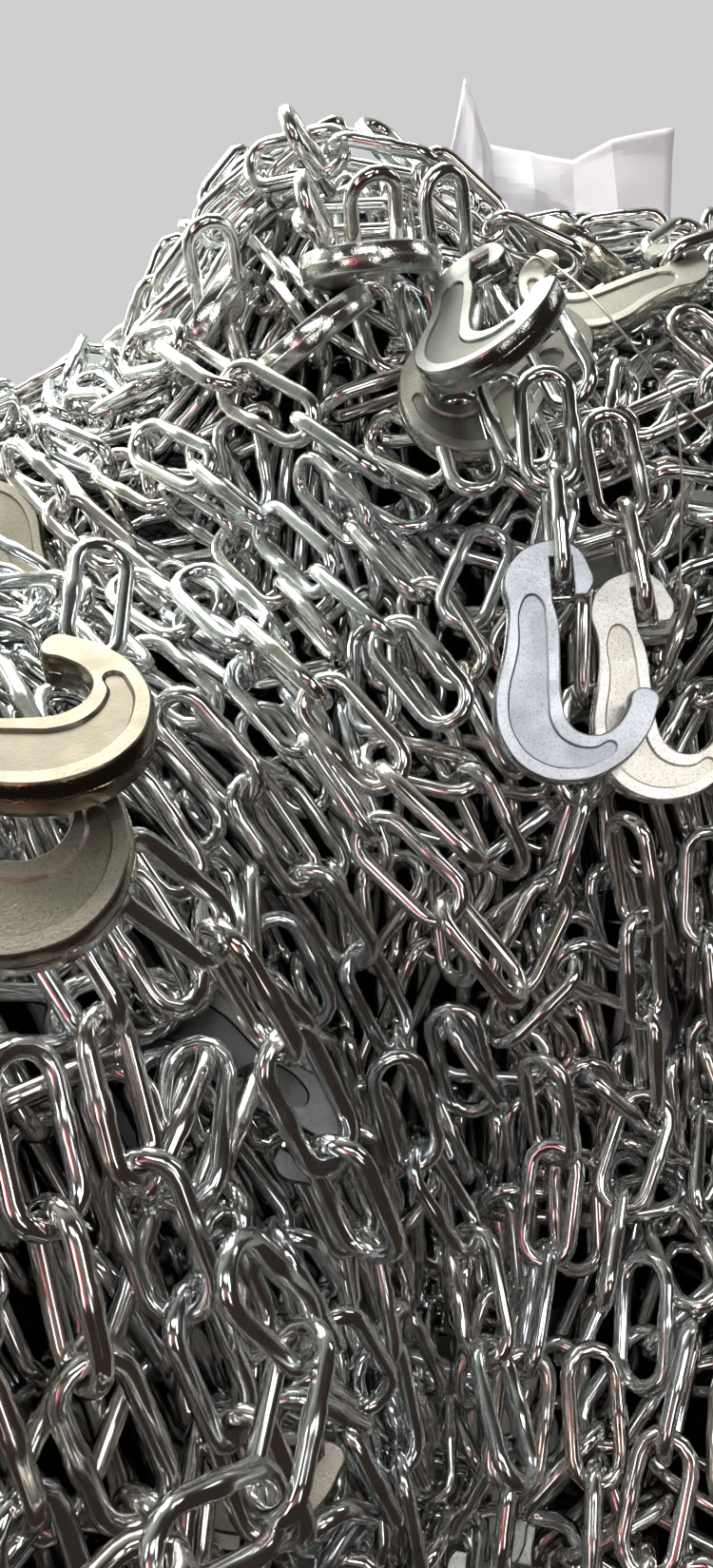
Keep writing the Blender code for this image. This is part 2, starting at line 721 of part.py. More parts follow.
def build_tie_wire(name, pixels, pile, collection, material):
    """Thin wire over the links, settled away from the eye."""
    points = [on_mound(pixel) for pixel in pixels]
    flat = smooth_route([(point.x, point.y) for point in points], TIE_WIRE_STEPS)
    path = []
    for x, y in flat:
        path.append((Vector((x, y, mound_height(x, y))) + mound_normal(x, y) * TIE_WIRE_LIFT, 1.0))
    wire = to_mesh(tube_curve(name, [path], 0.5 * TIE_WIRE, False), collection, material, name)
    wire.data.shade_smooth()
    bpy.context.view_layer.update()
    pile.settle([wire], sight(pixels[len(pixels) // 2]))


def main():
    """Build the heap from its core outwards."""
    clear_scene()
    collection = make_collection("steel_chain_heap")
    helpers = make_collection("helpers")
    materials = {
        "zinc": make_material("zinc_plated_wire", ZINC, 0.22, 1.0),
        "cast": make_material("zinc_plated_forging", CAST_ZINC, 0.45, 1.0),
        "core": make_material("hidden_chain", DARK_STEEL, 0.7, 0.6),
        "paper": make_material("paper", PAPER, 0.8, 0.0),
        "tie": make_material("tie_wire", WIRE_GREY, 0.35, 1.0),
    }
    core = build_core(collection, materials["core"])
    bpy.context.view_layer.update()
    pile = Pile()
    pile.add([core])
    link_shape = tube_curve("link", [link_path()], 0.5 * WIRE, True, RIDGE_TILT)
    pattern = to_mesh(link_shape, helpers, materials["zinc"], "link_pattern")
    as_cutter(pattern)
    link = pattern.data
    for place in HOOKS:
        if place.bed:
            build_hook(place, pile, collection, helpers, materials, core, link)
    for strand in FRONT_STRANDS:
        spots = [on_mound(pixel) for pixel in strand.points]
        middle_pixel = strand.points[len(strand.points) // 2]
        points = [(spot.x, spot.y) for spot in spots]
        build_strand(strand, points, sight(middle_pixel), pile, collection, helpers, link)
    for strand in SIDE_STRANDS:
        build_strand(strand, strand.points, None, pile, collection, helpers, link)
    for place in HOOKS:
        if not place.bed:
            build_hook(place, pile, collection, helpers, materials, core, link)
    build_label(pile, collection, materials["paper"])
    for name, pixels in TIE_WIRES:
        build_tie_wire(name, pixels, pile, collection, materials["tie"])


main()
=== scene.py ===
"""Finished look of the heap of steel chain, packed round the CAD frame.

It has welded links, forged hooks, a paper label and tie wires. Lengths are in metres, with +Z
up and -Y towards the viewer, as in the frame.
"""

import logging
import math
from dataclasses import dataclass, field
from enum import Enum

import bpy
import numpy as np
from mathutils import Matrix, Vector, noise
from mathutils.geometry import tessellate_polygon


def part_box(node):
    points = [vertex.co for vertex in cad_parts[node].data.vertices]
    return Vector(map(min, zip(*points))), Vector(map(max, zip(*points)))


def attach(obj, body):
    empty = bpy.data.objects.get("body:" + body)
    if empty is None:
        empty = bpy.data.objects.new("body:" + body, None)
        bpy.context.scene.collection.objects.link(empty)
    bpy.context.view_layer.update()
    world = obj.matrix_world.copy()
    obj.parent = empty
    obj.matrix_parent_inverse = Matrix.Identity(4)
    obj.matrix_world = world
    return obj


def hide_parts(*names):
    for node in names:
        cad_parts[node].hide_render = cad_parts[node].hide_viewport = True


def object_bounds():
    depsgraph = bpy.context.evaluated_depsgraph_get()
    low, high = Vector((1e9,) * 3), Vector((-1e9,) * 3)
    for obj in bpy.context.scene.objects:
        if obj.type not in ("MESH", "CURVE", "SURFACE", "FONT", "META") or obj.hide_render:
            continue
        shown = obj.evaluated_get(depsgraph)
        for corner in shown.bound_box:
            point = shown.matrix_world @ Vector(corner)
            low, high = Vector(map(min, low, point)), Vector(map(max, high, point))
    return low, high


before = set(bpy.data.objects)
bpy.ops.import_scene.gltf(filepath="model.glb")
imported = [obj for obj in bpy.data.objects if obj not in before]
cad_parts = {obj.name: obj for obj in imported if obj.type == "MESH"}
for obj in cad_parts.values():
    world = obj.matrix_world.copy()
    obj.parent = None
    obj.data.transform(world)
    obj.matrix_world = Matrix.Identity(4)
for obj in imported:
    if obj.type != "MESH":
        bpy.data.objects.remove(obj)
CAD_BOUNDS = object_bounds()

LOG = logging.getLogger("chain_heap")
Array = np.ndarray
Piece = bpy.types.Object
Socket = bpy.types.NodeSocket
Material = bpy.types.Material
Pixel = tuple[float, float]
Flat = tuple[float, float]
Place = tuple[float, float, float]
Tint = tuple[float, float, float]
Colour = tuple[float, float, float, float]
BODY = "root"
QUARTER_TURN = 90.0
TINY = 1e-6
LEAST_SLANT = 0.6
MOST_STRETCH = 1.5


def unit(vectors: Array) -> Array:
    """Vectors scaled to a length of one, along the last axis."""
    return vectors / np.linalg.norm(vectors, axis=-1, keepdims=True)


def cad_middle(node: str) -> Array:
    """Middle of a CAD node's box."""
    low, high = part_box(node)
    return 0.5 * (np.array(low) + np.array(high))


def box_middle(points: Array) -> Array:
    """Middle of the box round some points."""
    return 0.5 * (points.min(axis=0) + points.max(axis=0))


def rest_shift(node: str, points: Array, way: Array) -> Array:
    """How far points have to move along a unit direction to lie where a CAD node came to rest."""
    return way * float((cad_middle(node) - box_middle(points)) @ way)


def step_to_distance(step: Array, away: Array, length: float, way: float = 1.0) -> Array:
    """Step along a line to where it is a given length from a point.

    Args:
        step: Direction of the line.
        away: From the point to the line's start.
        length: The wanted distance.
        way: 1 for the further crossing and -1 for the nearer.

    Returns:
        The step, which leads to the line's closest place if it never is that near.
    """
    a, b, c = step @ step, 2.0 * step @ away, away @ away - length ** 2
    return step * (-b + way * math.sqrt(max(0.0, b * b - 4.0 * a * c))) / (2.0 * a)


def smooth_curve(points: Array, steps: int) -> Array:
    """Catmull-Rom curve through points.

    Args:
        points: Control points, one a row.
        steps: Points for each span.

    Returns:
        Points of the curve, with both ends.
    """
    ends = np.vstack([2 * points[0] - points[1], points, 2 * points[-1] - points[-2]])
    t = (np.arange(steps) / steps)[:, None]
    spans = []
    for before, start, end, after in zip(ends, ends[1:], ends[2:], ends[3:]):
        spans.append(
            0.5 * (2 * start + (end - before) * t
                   + (2 * before - 5 * start + 4 * end - after) * t ** 2
                   + (3 * start - before - 3 * end + after) * t ** 3)
        )
    return np.vstack([*spans, points[-1:]])


def straight_spans(points: Array, steps: int) -> Array:
    """Points along the straight lines between control points.

    Args:
        points: Control points, one a row.
        steps: Points for each line.

    Returns:
        Points of the lines, with both ends.
    """
    shares = (np.arange(steps) / steps)[:, None]
    spans = [start + (end - start) * shares for start, end in zip(points, points[1:])]
    return np.vstack([*spans, points[-1:]])


def points_inside(polygon: Array, points: Array) -> Array:
    """Which points lie inside a polygon of the plane.

    Args:
        polygon: Corners, one a row.
        points: Points to test, one a row.

    Returns:
        True for each point inside.
    """
    x, y = points[:, 0:1], points[:, 1:2]
    ax, ay = polygon.T
    bx, by = np.roll(polygon, -1, axis=0).T
    crosses = (ay > y) != (by > y)
    rise = np.where(by == ay, 1.0, by - ay)
    return (crosses & (x < ax + (y - ay) / rise * (bx - ax))).sum(axis=1) % 2 == 1


def mesh_object(
    name: str, points: Array, faces: list | Array, marks: dict[str, Array]
) -> Piece:
    """Smooth mesh object.

    Args:
        name: Name of the object.
        points: Vertices, one a row.
        faces: Corner numbers of each face.
        marks: Value at each vertex, by attribute name.

    Returns:
        The object, linked to the scene.
    """
    mesh = bpy.data.meshes.new(name)
    corners = np.concatenate([np.asarray(face) for face in faces])
    sizes = np.array([len(face) for face in faces])
    starts = np.concatenate([[0], np.cumsum(sizes)[:-1]])
    mesh.vertices.add(len(points))
    mesh.vertices.foreach_set("co", np.ascontiguousarray(points, np.float32).ravel())
    mesh.loops.add(len(corners))
    mesh.loops.foreach_set("vertex_index", corners.astype(np.int32))
    mesh.polygons.add(len(sizes))
    mesh.polygons.foreach_set("loop_start", starts.astype(np.int32))
    mesh.update(calc_edges=True)
    mesh.shade_smooth()
    for mark, values in marks.items():
        attribute = mesh.attributes.new(mark, "FLOAT", "POINT")
        attribute.data.foreach_set("value", np.ascontiguousarray(values, np.float32))
    made = bpy.data.objects.new(name, mesh)
    bpy.context.scene.collection.objects.link(made)
    return made


def tube(path: Array, radius: float, sides: int, tip: float) -> tuple[Array, Array]:
    """Open tube along a path, with its ends drawn in.

    Args:
        path: Points of the centreline.
        radius: Radius of the tube.
        sides: Faces round the tube.
        tip: Share of the radius that its ends have.

    Returns:
        Vertices and quads.
    """
    ways = unit(np.gradient(path, axis=0))
    side = unit(np.cross(ways, np.array([0.0, 0.0, 1.0])))
    other = np.cross(ways, side)
    angles = 2 * np.pi * np.arange(sides) / sides
    reach = np.full(len(path), radius)
    reach[[0, -1]] = tip * radius
    ring = np.cos(angles)[:, None] * side[:, None, :] + np.sin(angles)[:, None] * other[:, None, :]
    points = path[:, None, :] + reach[:, None, None] * ring
    return points.reshape(-1, 3), ring_quads(len(path), sides, closed=False)


def ring_quads(rings: int, sides: int, closed: bool) -> Array:
    """Quads that join rings of vertices, the last to the first if closed.

    Args:
        rings: Number of rings.
        sides: Vertices of a ring.
        closed: Whether the last ring is joined to the first.

    Returns:
        Quads, one a row.
    """
    ring = np.arange(rings if closed else rings - 1)[:, None]
    side = np.arange(sides)[None, :]
    after = (ring + 1) % rings
    beside = (side + 1) % sides
    here = ring * sides
    there = after * sides
    quads = [here + side, there + side, there + beside, here + beside]
    return np.stack(quads, axis=-1).reshape(-1, 4)


def cell_corners(rows: int, columns: int) -> Array:
    """Number of the first corner of each cell of a grid of points."""
    return np.arange(rows - 1)[:, None] * columns + np.arange(columns - 1)[None, :]


def cell_quads(corners: Array, columns: int) -> Array:
    """Quads of grid cells, from their first corners."""
    above = corners + columns
    return np.stack([corners, corners + 1, above + 1, above], axis=-1).reshape(-1, 4)


@dataclass(frozen=True)
class Lobe:
    """One swell of the mound."""

    x: float
    y: float
    half_x: float
    half_y: float
    height: float
    shoulder: float
    fall: float


@dataclass(frozen=True)
class Mound:
    """Surface that the heap's outer links lie round, as in the CAD source."""

    lobes: tuple[Lobe, ...] = (
        Lobe(0.24, 0.18, 0.84, 0.70, 0.965, 3.2, 0.80),
        Lobe(-0.01, 0.05, 0.27, 0.36, 1.01, 2.6, 0.72),
        Lobe(-0.44, 0.06, 0.48, 0.60, 0.81, 3.2, 0.80),
        Lobe(-0.33, -0.53, 0.38, 0.57, 0.775, 2.2, 0.85),
        Lobe(0.10, -0.31, 0.24, 0.24, 0.68, 2.6, 0.80),
        Lobe(-0.14, -0.34, 0.26, 0.28, 0.65, 2.6, 0.80),
        Lobe(0.36, -0.44, 0.40, 0.42, 0.26, 2.4, 0.80),
    )
    blend: float = 8.0
    lump_height: float = 0.012
    lump_length: float = 0.31
    lump_ways: tuple[Flat, Flat] = ((1.0, 0.4), (-0.3, 0.8))
    lump_phase: float = 1.0
    lump_fade: float = 10.0
    reach: float = 0.026
    low: Flat = (-0.98, -1.10)
    high: Flat = (1.08, 0.88)

    def height(self, floor: Array) -> Array:
        """Height over floor-plan points.

        Args:
            floor: Floor-plan points, with x and y on the last axis.

        Returns:
            The height over each.
        """
        total = np.zeros(floor.shape[:-1])
        x, y = floor[..., 0], floor[..., 1]
        for lobe in self.lobes:
            away = np.hypot((x - lobe.x) / lobe.half_x, (y - lobe.y) / lobe.half_y)
            dome = lobe.height * np.clip(1.0 - away ** lobe.shoulder, 0.0, None) ** lobe.fall
            total += dome ** self.blend
        height = total ** (1.0 / self.blend)
        wave = 2.0 * math.pi / self.lump_length
        first, second = (wave * (x * way[0] + y * way[1]) for way in self.lump_ways)
        lump = self.lump_height * np.sin(first) * np.cos(second + self.lump_phase)
        fade = np.minimum(1.0, height / (self.lump_fade * self.lump_height))
        return np.maximum(0.0, height + lump * fade)

    def normal(self, floor: Array) -> Array:
        """Outward unit normals over floor-plan points, taken over a link's width.

        Args:
            floor: Floor-plan points, with x and y on the last axis.

        Returns:
            The normal over each.
        """
        east = np.array([self.reach, 0.0])
        north = np.array([0.0, self.reach])
        around = np.stack([floor + east, floor - east, floor + north, floor - north])
        high = self.height(around) / (2.0 * self.reach)
        rise = np.ones(floor.shape[:-1])
        return unit(np.stack([high[1] - high[0], high[3] - high[2], rise], axis=-1))

    def lifted(self, floor: Array, lift: float) -> Array:
        """Points that stand off the surface over floor-plan points."""
        foot = np.concatenate([floor, self.height(floor)[..., None]], axis=-1)
        return foot + lift * self.normal(floor)

    def gap(self, points: Array) -> Array:
        """How far points stand off the surface, near enough for small gaps."""
        floor = points[..., :2]
        return (points[..., 2] - self.height(floor)) * self.normal(floor)[..., 2]


@dataclass(frozen=True)
class Sight:
    """The photograph's point of view."""

    eye: Place = (0.0, -1.25, 1.0)
    look_down: float = math.radians(26.0)
    lean: float = math.radians(2.5)
    focal_pixels: float = 1191.0
    middle: Pixel = (375.0, 824.5)
    focal_length: float = 26.0
    sensor: float = 36.0
    near: float = 0.2
    far: float = 2.4
    march: float = 0.01
    halvings: int = 20
    clip_start: float = 0.01

    @property
    def axes(self) -> Array:
        """Right, up and towards-the-eye directions, one a row.

        Returns:
            A rotation whose rows are these directions.
        """
        level = np.array([1.0, 0.0, 0.0])
        back = np.array([0.0, -math.cos(self.look_down), math.sin(self.look_down)])
        rise = np.cross(back, level)
        right = level * math.cos(self.lean) - rise * math.sin(self.lean)
        up = level * math.sin(self.lean) + rise * math.cos(self.lean)
        return np.stack([right, up, back])

    def ray(self, pixel: Pixel) -> Array:
        """Direction from the eye through a pixel, one metre deep.

        Args:
            pixel: Pixel of the photograph.

        Returns:
            The direction.
        """
        across = (pixel[0] - self.middle[0]) / self.focal_pixels
        down = (pixel[1] - self.middle[1]) / self.focal_pixels
        return np.array([across, -down, -1.0]) @ self.axes

    def seen(self, points: Array) -> Array:
        """Place across and up in the view, one metre deep, and the depth of each point.

        Args:
            points: Points, one a row.

        Returns:
            The three values of each, one a row.
        """
        rays = (points - np.array(self.eye)) @ self.axes.T
        depth = -rays[:, 2]
        return np.column_stack([rays[:, 0] / depth, rays[:, 1] / depth, depth])

    def on_mound(self, pixel: Pixel, mound: Mound) -> Array:
        """Point where the line of sight through a pixel meets the mound.

        Args:
            pixel: Pixel of the photograph.
            mound: Surface that the heap's links lie round.

        Returns:
            The point.
        """
        ray = self.ray(pixel)
        depths = self.near + self.march * np.arange(int((self.far - self.near) / self.march))
        points = np.array(self.eye) + depths[:, None] * ray
        under = points[:, 2] <= mound.height(points[:, :2])
        far = depths[np.argmax(under)]
        near = far - self.march
        for _ in range(self.halvings):
            depth = 0.5 * (near + far)
            point = np.array(self.eye) + depth * ray
            if point[2] <= mound.height(point[:2]):
                far = depth
            else:
                near = depth
        return np.array(self.eye) + near * ray

    def camera(self) -> Piece:
        """Camera at the photograph's point of view.

        Returns:
            The camera, linked to the scene.
        """
        lens = bpy.data.cameras.new("camera")
        lens.sensor_fit = "VERTICAL"
        lens.sensor_height = self.sensor
        lens.lens = self.focal_length
        lens.clip_start = self.clip_start
        lens.dof.use_dof = False
        made = bpy.data.objects.new("camera", lens)
        made.matrix_world = Matrix.Translation(self.eye) @ Matrix(self.axes.T.tolist()).to_4x4()
        bpy.context.scene.collection.objects.link(made)
        return made


class Detail(Enum):
    """How finely a link is meshed.

    The values are the faces round the wire, the steps round a bend, and whether the weld shows.
    """

    CLOSE = (12, 8, True)
    NEAR = (10, 6, True)
    MIDDLE = (8, 5, True)
    DEEP = (6, 4, False)


@dataclass(frozen=True)
class Link:
    """Long link of round wire, flat in X and Y with its length along X."""

    wire: float = 0.013
    inside: float = 0.082
    width: float = 0.052
    weld_half: float = 0.0062
    weld_shoulder: float = 0.0095
    weld_swell: float = 1.13
    spheres: int = 18

    @property
    def bend(self) -> float:
        """Radius of a bend's centreline."""
        return 0.5 * (self.width - self.wire)

    @property
    def bend_x(self) -> float:
        """Distance of a bend's centre from the middle."""
        return 0.5 * (self.inside + self.wire) - self.bend

    def mesh(self, detail: Detail) -> tuple[Array, Array, Array]:
        """Tube of one link.

        Args:
            detail: How finely it is meshed.

        Returns:
            Vertices, quads, and the weld's share at each vertex.
        """
        sides, steps, weld = detail.value
        rings = []
        for end in (1.0, -1.0):
            for step in range(steps + 1):
                angle = math.pi * (step / steps - 0.5)
                out = end * np.array([math.cos(angle), math.sin(angle), 0.0])
                middle = np.array([end * self.bend_x, 0.0, 0.0]) + self.bend * out
                rings.append((middle, out, 1.0, 0.0))
            if end > 0 and weld:
                for x, swell in (
                    (self.weld_shoulder, 1.0),
                    (self.weld_half, self.weld_swell),
                    (-self.weld_half, self.weld_swell),
                    (-self.weld_shoulder, 1.0),
                ):
                    share = (swell - 1.0) / (self.weld_swell - 1.0)
                    middle = np.array([x, self.bend, 0.0])
                    rings.append((middle, np.array([0.0, 1.0, 0.0]), swell, share))
        middles = np.array([ring[0] for ring in rings])
        outs = np.array([ring[1] for ring in rings])
        swells = np.array([ring[2] for ring in rings])
        angles = 2 * np.pi * np.arange(sides) / sides
        across = np.cos(angles)[None, :, None] * outs[:, None, :]
        facing = np.sin(angles)[None, :, None] * np.array([0.0, 0.0, 1.0])
        points = middles[:, None, :] + 0.5 * self.wire * swells[:, None, None] * (across + facing)
        shares = np.repeat([ring[3] for ring in rings], sides)
        return points.reshape(-1, 3), ring_quads(len(rings), sides, closed=True), shares

    def sphere_middles(self) -> Array:
        """Middles of the spheres that stand for the wire while links settle.

        Returns:
            The middles, in the link's own axes.
        """
        straight = 2.0 * self.bend_x
        half = straight + math.pi * self.bend
        rows = []
        for step in range(self.spheres):
            way = 2.0 * half * step / self.spheres
            end = 1.0 if way < half else -1.0
            way = way % half
            if way < straight:
                rows.append((end * (way - self.bend_x), -end * self.bend, 0.0))
            else:
                angle = (way - straight) / self.bend - 0.5 * math.pi
                x = self.bend_x + self.bend * math.cos(angle)
                rows.append((end * x, end * self.bend * math.sin(angle), 0.0))
        return np.array(rows)


LINK = Link()


@dataclass
class Links:
    """A group of links: middles, and axes whose columns run along, across and out of each link."""

    middles: Array
    axes: Array

    @classmethod
    def between(cls, nodes: Array, rolls: Array, normals: Array) -> "Links":
        """Links strung between nodes.

        Args:
            nodes: Points where one link hangs in the next.
            rolls: Turn of each link about its length, in radians.
            normals: Direction that a link without roll faces.

        Returns:
            One link fewer than there are nodes.
        """
        along = unit(nodes[1:] - nodes[:-1])
        side = unit(np.cross(normals, along))
        across = side * np.cos(rolls)[:, None] + np.cross(along, side) * np.sin(rolls)[:, None]
        axes = np.stack([along, across, np.cross(along, across)], axis=-1)
        return cls(0.5 * (nodes[1:] + nodes[:-1]), axes)

    @classmethod
    def joined(cls, groups: list["Links"]) -> "Links":
        """All links of several groups."""
        middles = np.concatenate([group.middles for group in groups])
        return cls(middles, np.concatenate([group.axes for group in groups]))

    def __len__(self) -> int:
        """Number of links."""
        return len(self.middles)

    def chosen(self, which: Array) -> "Links":
        """The links that a mask or a list of numbers picks out."""
        return Links(self.middles[which], self.axes[which])

    def moved(self, shift: Array) -> "Links":
        """The same links, shifted."""
        return Links(self.middles + shift, self.axes)

    def placed(self, local: Array) -> Array:
        """Where points given in a link's own axes lie on each link."""
        return self.middles[:, None, :] + np.einsum("nij,kj->nki", self.axes, local)

    def spheres(self) -> Array:
        """Middles of the spheres that stand for each link's wire, by link."""
        return self.placed(LINK.sphere_middles())


@dataclass(frozen=True)
class LinkMesher:
    """Turns links into one mesh object with the marks that their finish reads.

    The tone differs from link to link, the weld shows on its swelling, and a share of painted shade
    grows with the depth below the mound's surface.
    """

    mound: Mound
    finish: "Finish"
    buried: float = 0.080
    proud: float = -0.004
    darkening: float = 1.4
    tones: np.random.Generator = field(default_factory=lambda: np.random.default_rng(7))

    def build(self, name: str, links: Links, detail: Detail) -> Piece:
        """Mesh object of a group of links, riding on the frame.

        Args:
            name: Name of the piece.
            links: The links.
            detail: How finely they are meshed.

        Returns:
            The piece.
        """
        local, quads, weld = LINK.mesh(detail)
        points = links.placed(local).reshape(-1, 3)
        faces = (quads[None] + len(local) * np.arange(len(links))[:, None, None]).reshape(-1, 4)
        tilt = np.repeat(self.mound.normal(links.middles[:, :2])[:, 2], len(local))
        gap = (points[:, 2] - self.mound.height(points[:, :2])) * tilt
        marks = {
            "tone": np.repeat(self.tones.random(len(links)), len(local)),
            # painted shade: links are painted darker the deeper they lie below the mound's surface,
            # standing for the shade inside the heap
            "shade_share": np.clip((self.proud - gap) / self.buried, 0.0, 1.0) ** self.darkening,
            "weld": np.tile(weld, len(links)),
        }
        made = mesh_object(name, points, faces, marks)
        return dressed(made, self.finish)


def dressed(piece: Piece, finish: "Finish") -> Piece:
    """Give a piece its finish and let it ride on the frame.

    Args:
        piece: A finished mesh object.
        finish: Its finish.

    Returns:
        The same piece.
    """
    piece.data.materials.clear()
    piece.data.materials.append(finish.material())
    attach(piece, BODY)
    return piece


class Nodes:
    """Adds and joins the nodes of one tree."""

    def __init__(self, tree: bpy.types.NodeTree) -> None:
        """Work on a tree."""
        self.tree = tree

    def feed(self, socket: Socket, value: object) -> None:
        """Join a socket to another, or set its value.

        Args:
            socket: Input socket to feed.
            value: Output socket, or a constant.
        """
        if isinstance(value, Socket):
            self.tree.links.new(value, socket)
        else:
            socket.default_value = value

    def node(self, kind: str, inputs: dict, **settings: object) -> bpy.types.Node:
        """New node with its inputs fed and its settings set.

        Args:
            kind: Type of the node.
            inputs: Socket or constant for each input, by name or number.
            settings: The node's other settings.

        Returns:
            The node.
        """
        made = self.tree.nodes.new(kind)
        for name, value in settings.items():
            setattr(made, name, value)
        for key, value in inputs.items():
            self.feed(made.inputs[key], value)
        return made


class Shading(Nodes):
    """The shader nodes of one material."""

    def __init__(self, name: str) -> None:
        """Start a material with one Principled shader.

        Args:
            name: Name of the material.
        """
        self.made = bpy.data.materials.new(name)
        self.made.use_nodes = True
        super().__init__(self.made.node_tree)
        self.shader = self.tree.nodes["Principled BSDF"]

    def mark(self, name: str) -> Socket:
        """A value stored at the piece's vertices."""
        return self.node("ShaderNodeAttribute", {}, attribute_name=name).outputs["Fac"]

    def noise(self, scale: float, detail: float = 2.0) -> Socket:
        """Noise over the piece, from 0 to 1.

        Args:
            scale: Waves to a metre.
            detail: How many finer waves are added.

        Returns:
            The noise's value.
        """
        place = self.node("ShaderNodeTexCoord", {}).outputs["Object"]
        inputs = {"Vector": place, "Scale": scale, "Detail": detail}
        return self.node("ShaderNodeTexNoise", inputs).outputs["Fac"]

    def spread(
        self, value: object, low: object, high: object, start: float = 0.0, end: float = 1.0
    ) -> Socket:
        """A value from start to end, spread from low to high."""
        inputs = {"Value": value, "From Min": start, "From Max": end, "To Min": low, "To Max": high}
        return self.node("ShaderNodeMapRange", inputs).outputs["Result"]

    def mixed(self, share: object, first: object, second: object) -> Socket:
        """Two colours mixed by a share."""
        colours = {0: share, 6: first, 7: second}
        return self.node("ShaderNodeMix", colours, data_type="RGBA").outputs[2]

    def sum(self, first: object, second: object) -> Socket:
        """Two values added and kept from 0 to 1."""
        values = {0: first, 1: second}
        return self.node("ShaderNodeMath", values, operation="ADD", use_clamp=True).outputs[0]

    def bump(self, height: object, depth: float) -> Socket:
        """Normal of a surface with this relief."""
        return self.node("ShaderNodeBump", {"Height": height, "Distance": depth}).outputs["Normal"]

    def done(self, **inputs: object) -> Material:
        """Feed the shader, its input names written with underscores, and return the material.

        Args:
            inputs: Socket or constant for each of the shader's inputs.

        Returns:
            The material.
        """
        for name, value in inputs.items():
            self.feed(self.shader.inputs[name.replace("_", " ")], value)
        return self.made


@dataclass(frozen=True)
class Finish:
    """Finish of a piece, and the name of a record's material slot, which is not used."""

    name: str
    slot: str

    def material(self) -> Material:
        """The material, made when first asked for."""
        return bpy.data.materials.get(self.name) or self.shaded(Shading(self.name))

    def shaded(self, shading: Shading) -> Material:
        """Build the material's nodes."""
        raise NotImplementedError


def grey(value: float) -> Colour:
    """A neutral colour."""
    return (value, value, value, 1.0)


@dataclass(frozen=True)
class ZincWire(Finish):
    """Bright zinc on wire: some links duller and yellower, and painted shade that darkens them where they
    lie deep.
    """

    cool: Colour = (0.76, 0.79, 0.80, 1.0)
    warm: Colour = (0.77, 0.74, 0.69, 1.0)
    stain: Colour = (0.22, 0.18, 0.14, 1.0)
    painted_shade: Colour = (0.014, 0.012, 0.010, 1.0)
    dull: float = 0.22
    bright: float = 0.09
    patch_scale: float = 24.0
    blotch_scale: float = 150.0
    wave_scale: float = 70.0
    wave_depth: float = 0.00010
    spotted: float = 0.45
    scorched: float = 0.2

    def shaded(self, shading: Shading) -> Material:
        """Build the material's nodes.

        Args:
            shading: Nodes of the material, to which its own are added.

        Returns:
            The material.
        """
        tone = shading.mark("tone")
        shade_share = shading.mark("shade_share")
        weld = shading.mark("weld")
        patches = shading.noise(self.patch_scale, 3.0)
        blotches = shading.noise(self.blotch_scale, 3.0)
        waves = shading.noise(self.wave_scale)
        zinc = shading.mixed(shading.spread(tone, 0.0, 1.0, 0.30, 1.0), self.cool, self.warm)
        spots = shading.spread(blotches, 0.0, self.spotted, 0.58, 0.76)
        stained = shading.mixed(spots, zinc, self.stain)
        scorched = shading.mixed(shading.spread(weld, 0.0, self.scorched), stained, self.stain)
        # painted shade: deep links are mixed towards near-black, which stands for the shade between the
        # links
        colour = shading.mixed(shade_share, scorched, self.painted_shade)
        sheen = shading.spread(patches, self.bright, self.dull, 0.35, 0.68)
        worn = shading.sum(sheen, shading.spread(weld, 0.0, 0.04))
        roughness = shading.sum(worn, shading.spread(spots, 0.0, 0.15))
        normal = shading.bump(waves, self.wave_depth)
        return shading.done(Base_Color=colour, Metallic=1.0, Roughness=roughness, Normal=normal)


@dataclass(frozen=True)
class Forging(Finish):
    """Zinc on a forging: speckled and satin on its faces, shinier round its edges."""

    rim: Colour = (0.72, 0.71, 0.68, 1.0)
    recess: Colour = (0.50, 0.49, 0.46, 1.0)
    pit: Colour = (0.10, 0.10, 0.10, 1.0)
    face_dull: float = 0.46
    face_bright: float = 0.34
    edge_bright: float = 0.16
    patch_scale: float = 45.0
    grain_scale: float = 700.0
    pit_scale: float = 330.0
    pit_depth: float = 0.0003

    def shaded(self, shading: Shading) -> Material:
        """Build the material's nodes.

        Args:
            shading: Nodes of the material, to which its own are added.

        Returns:
            The material.
        """
        web = shading.mark("web")
        face = shading.mark("face")
        patches = shading.noise(self.patch_scale, 4.0)
        grain = shading.noise(self.grain_scale)
        pits = shading.noise(self.pit_scale)
        base = shading.mixed(web, self.rim, self.recess)
        spotted = shading.mixed(shading.spread(patches, 0.0, 0.4, 0.45, 0.75), base, self.recess)
        speckled = shading.mixed(shading.spread(grain, 0.0, 0.45, 0.52, 0.72), spotted, self.pit)
        colour = shading.mixed(shading.spread(pits, 0.0, 0.3, 0.62, 0.75), speckled, self.pit)
        satin = shading.spread(patches, self.face_bright, self.face_dull, 0.3, 0.7)
        roughness = shading.spread(face, self.edge_bright, satin)
        relief = shading.sum(shading.spread(grain, 0.0, 0.5), shading.spread(pits, 0.0, 0.5))
        normal = shading.bump(relief, self.pit_depth)
        return shading.done(Base_Color=colour, Metallic=1.0, Roughness=roughness, Normal=normal)


@dataclass(frozen=True)
class Paper(Finish):
    """Thin label paper, a little soiled."""

    clean: Colour = (0.80, 0.78, 0.84, 1.0)
    soiled: Colour = (0.66, 0.63, 0.67, 1.0)
    soil_scale: float = 28.0
    fibre_scale: float = 420.0
    fibre_depth: float = 0.0003

    def shaded(self, shading: Shading) -> Material:
        """Build the material's nodes.

        Args:
            shading: Nodes of the material, to which its own are added.

        Returns:
            The material.
        """
        soil = shading.spread(shading.noise(self.soil_scale, 5.0), 0.0, 0.7, 0.5, 0.8)
        colour = shading.mixed(soil, self.clean, self.soiled)
        normal = shading.bump(shading.noise(self.fibre_scale, 3.0), self.fibre_depth)
        return shading.done(Base_Color=colour, Roughness=0.75, Normal=normal)


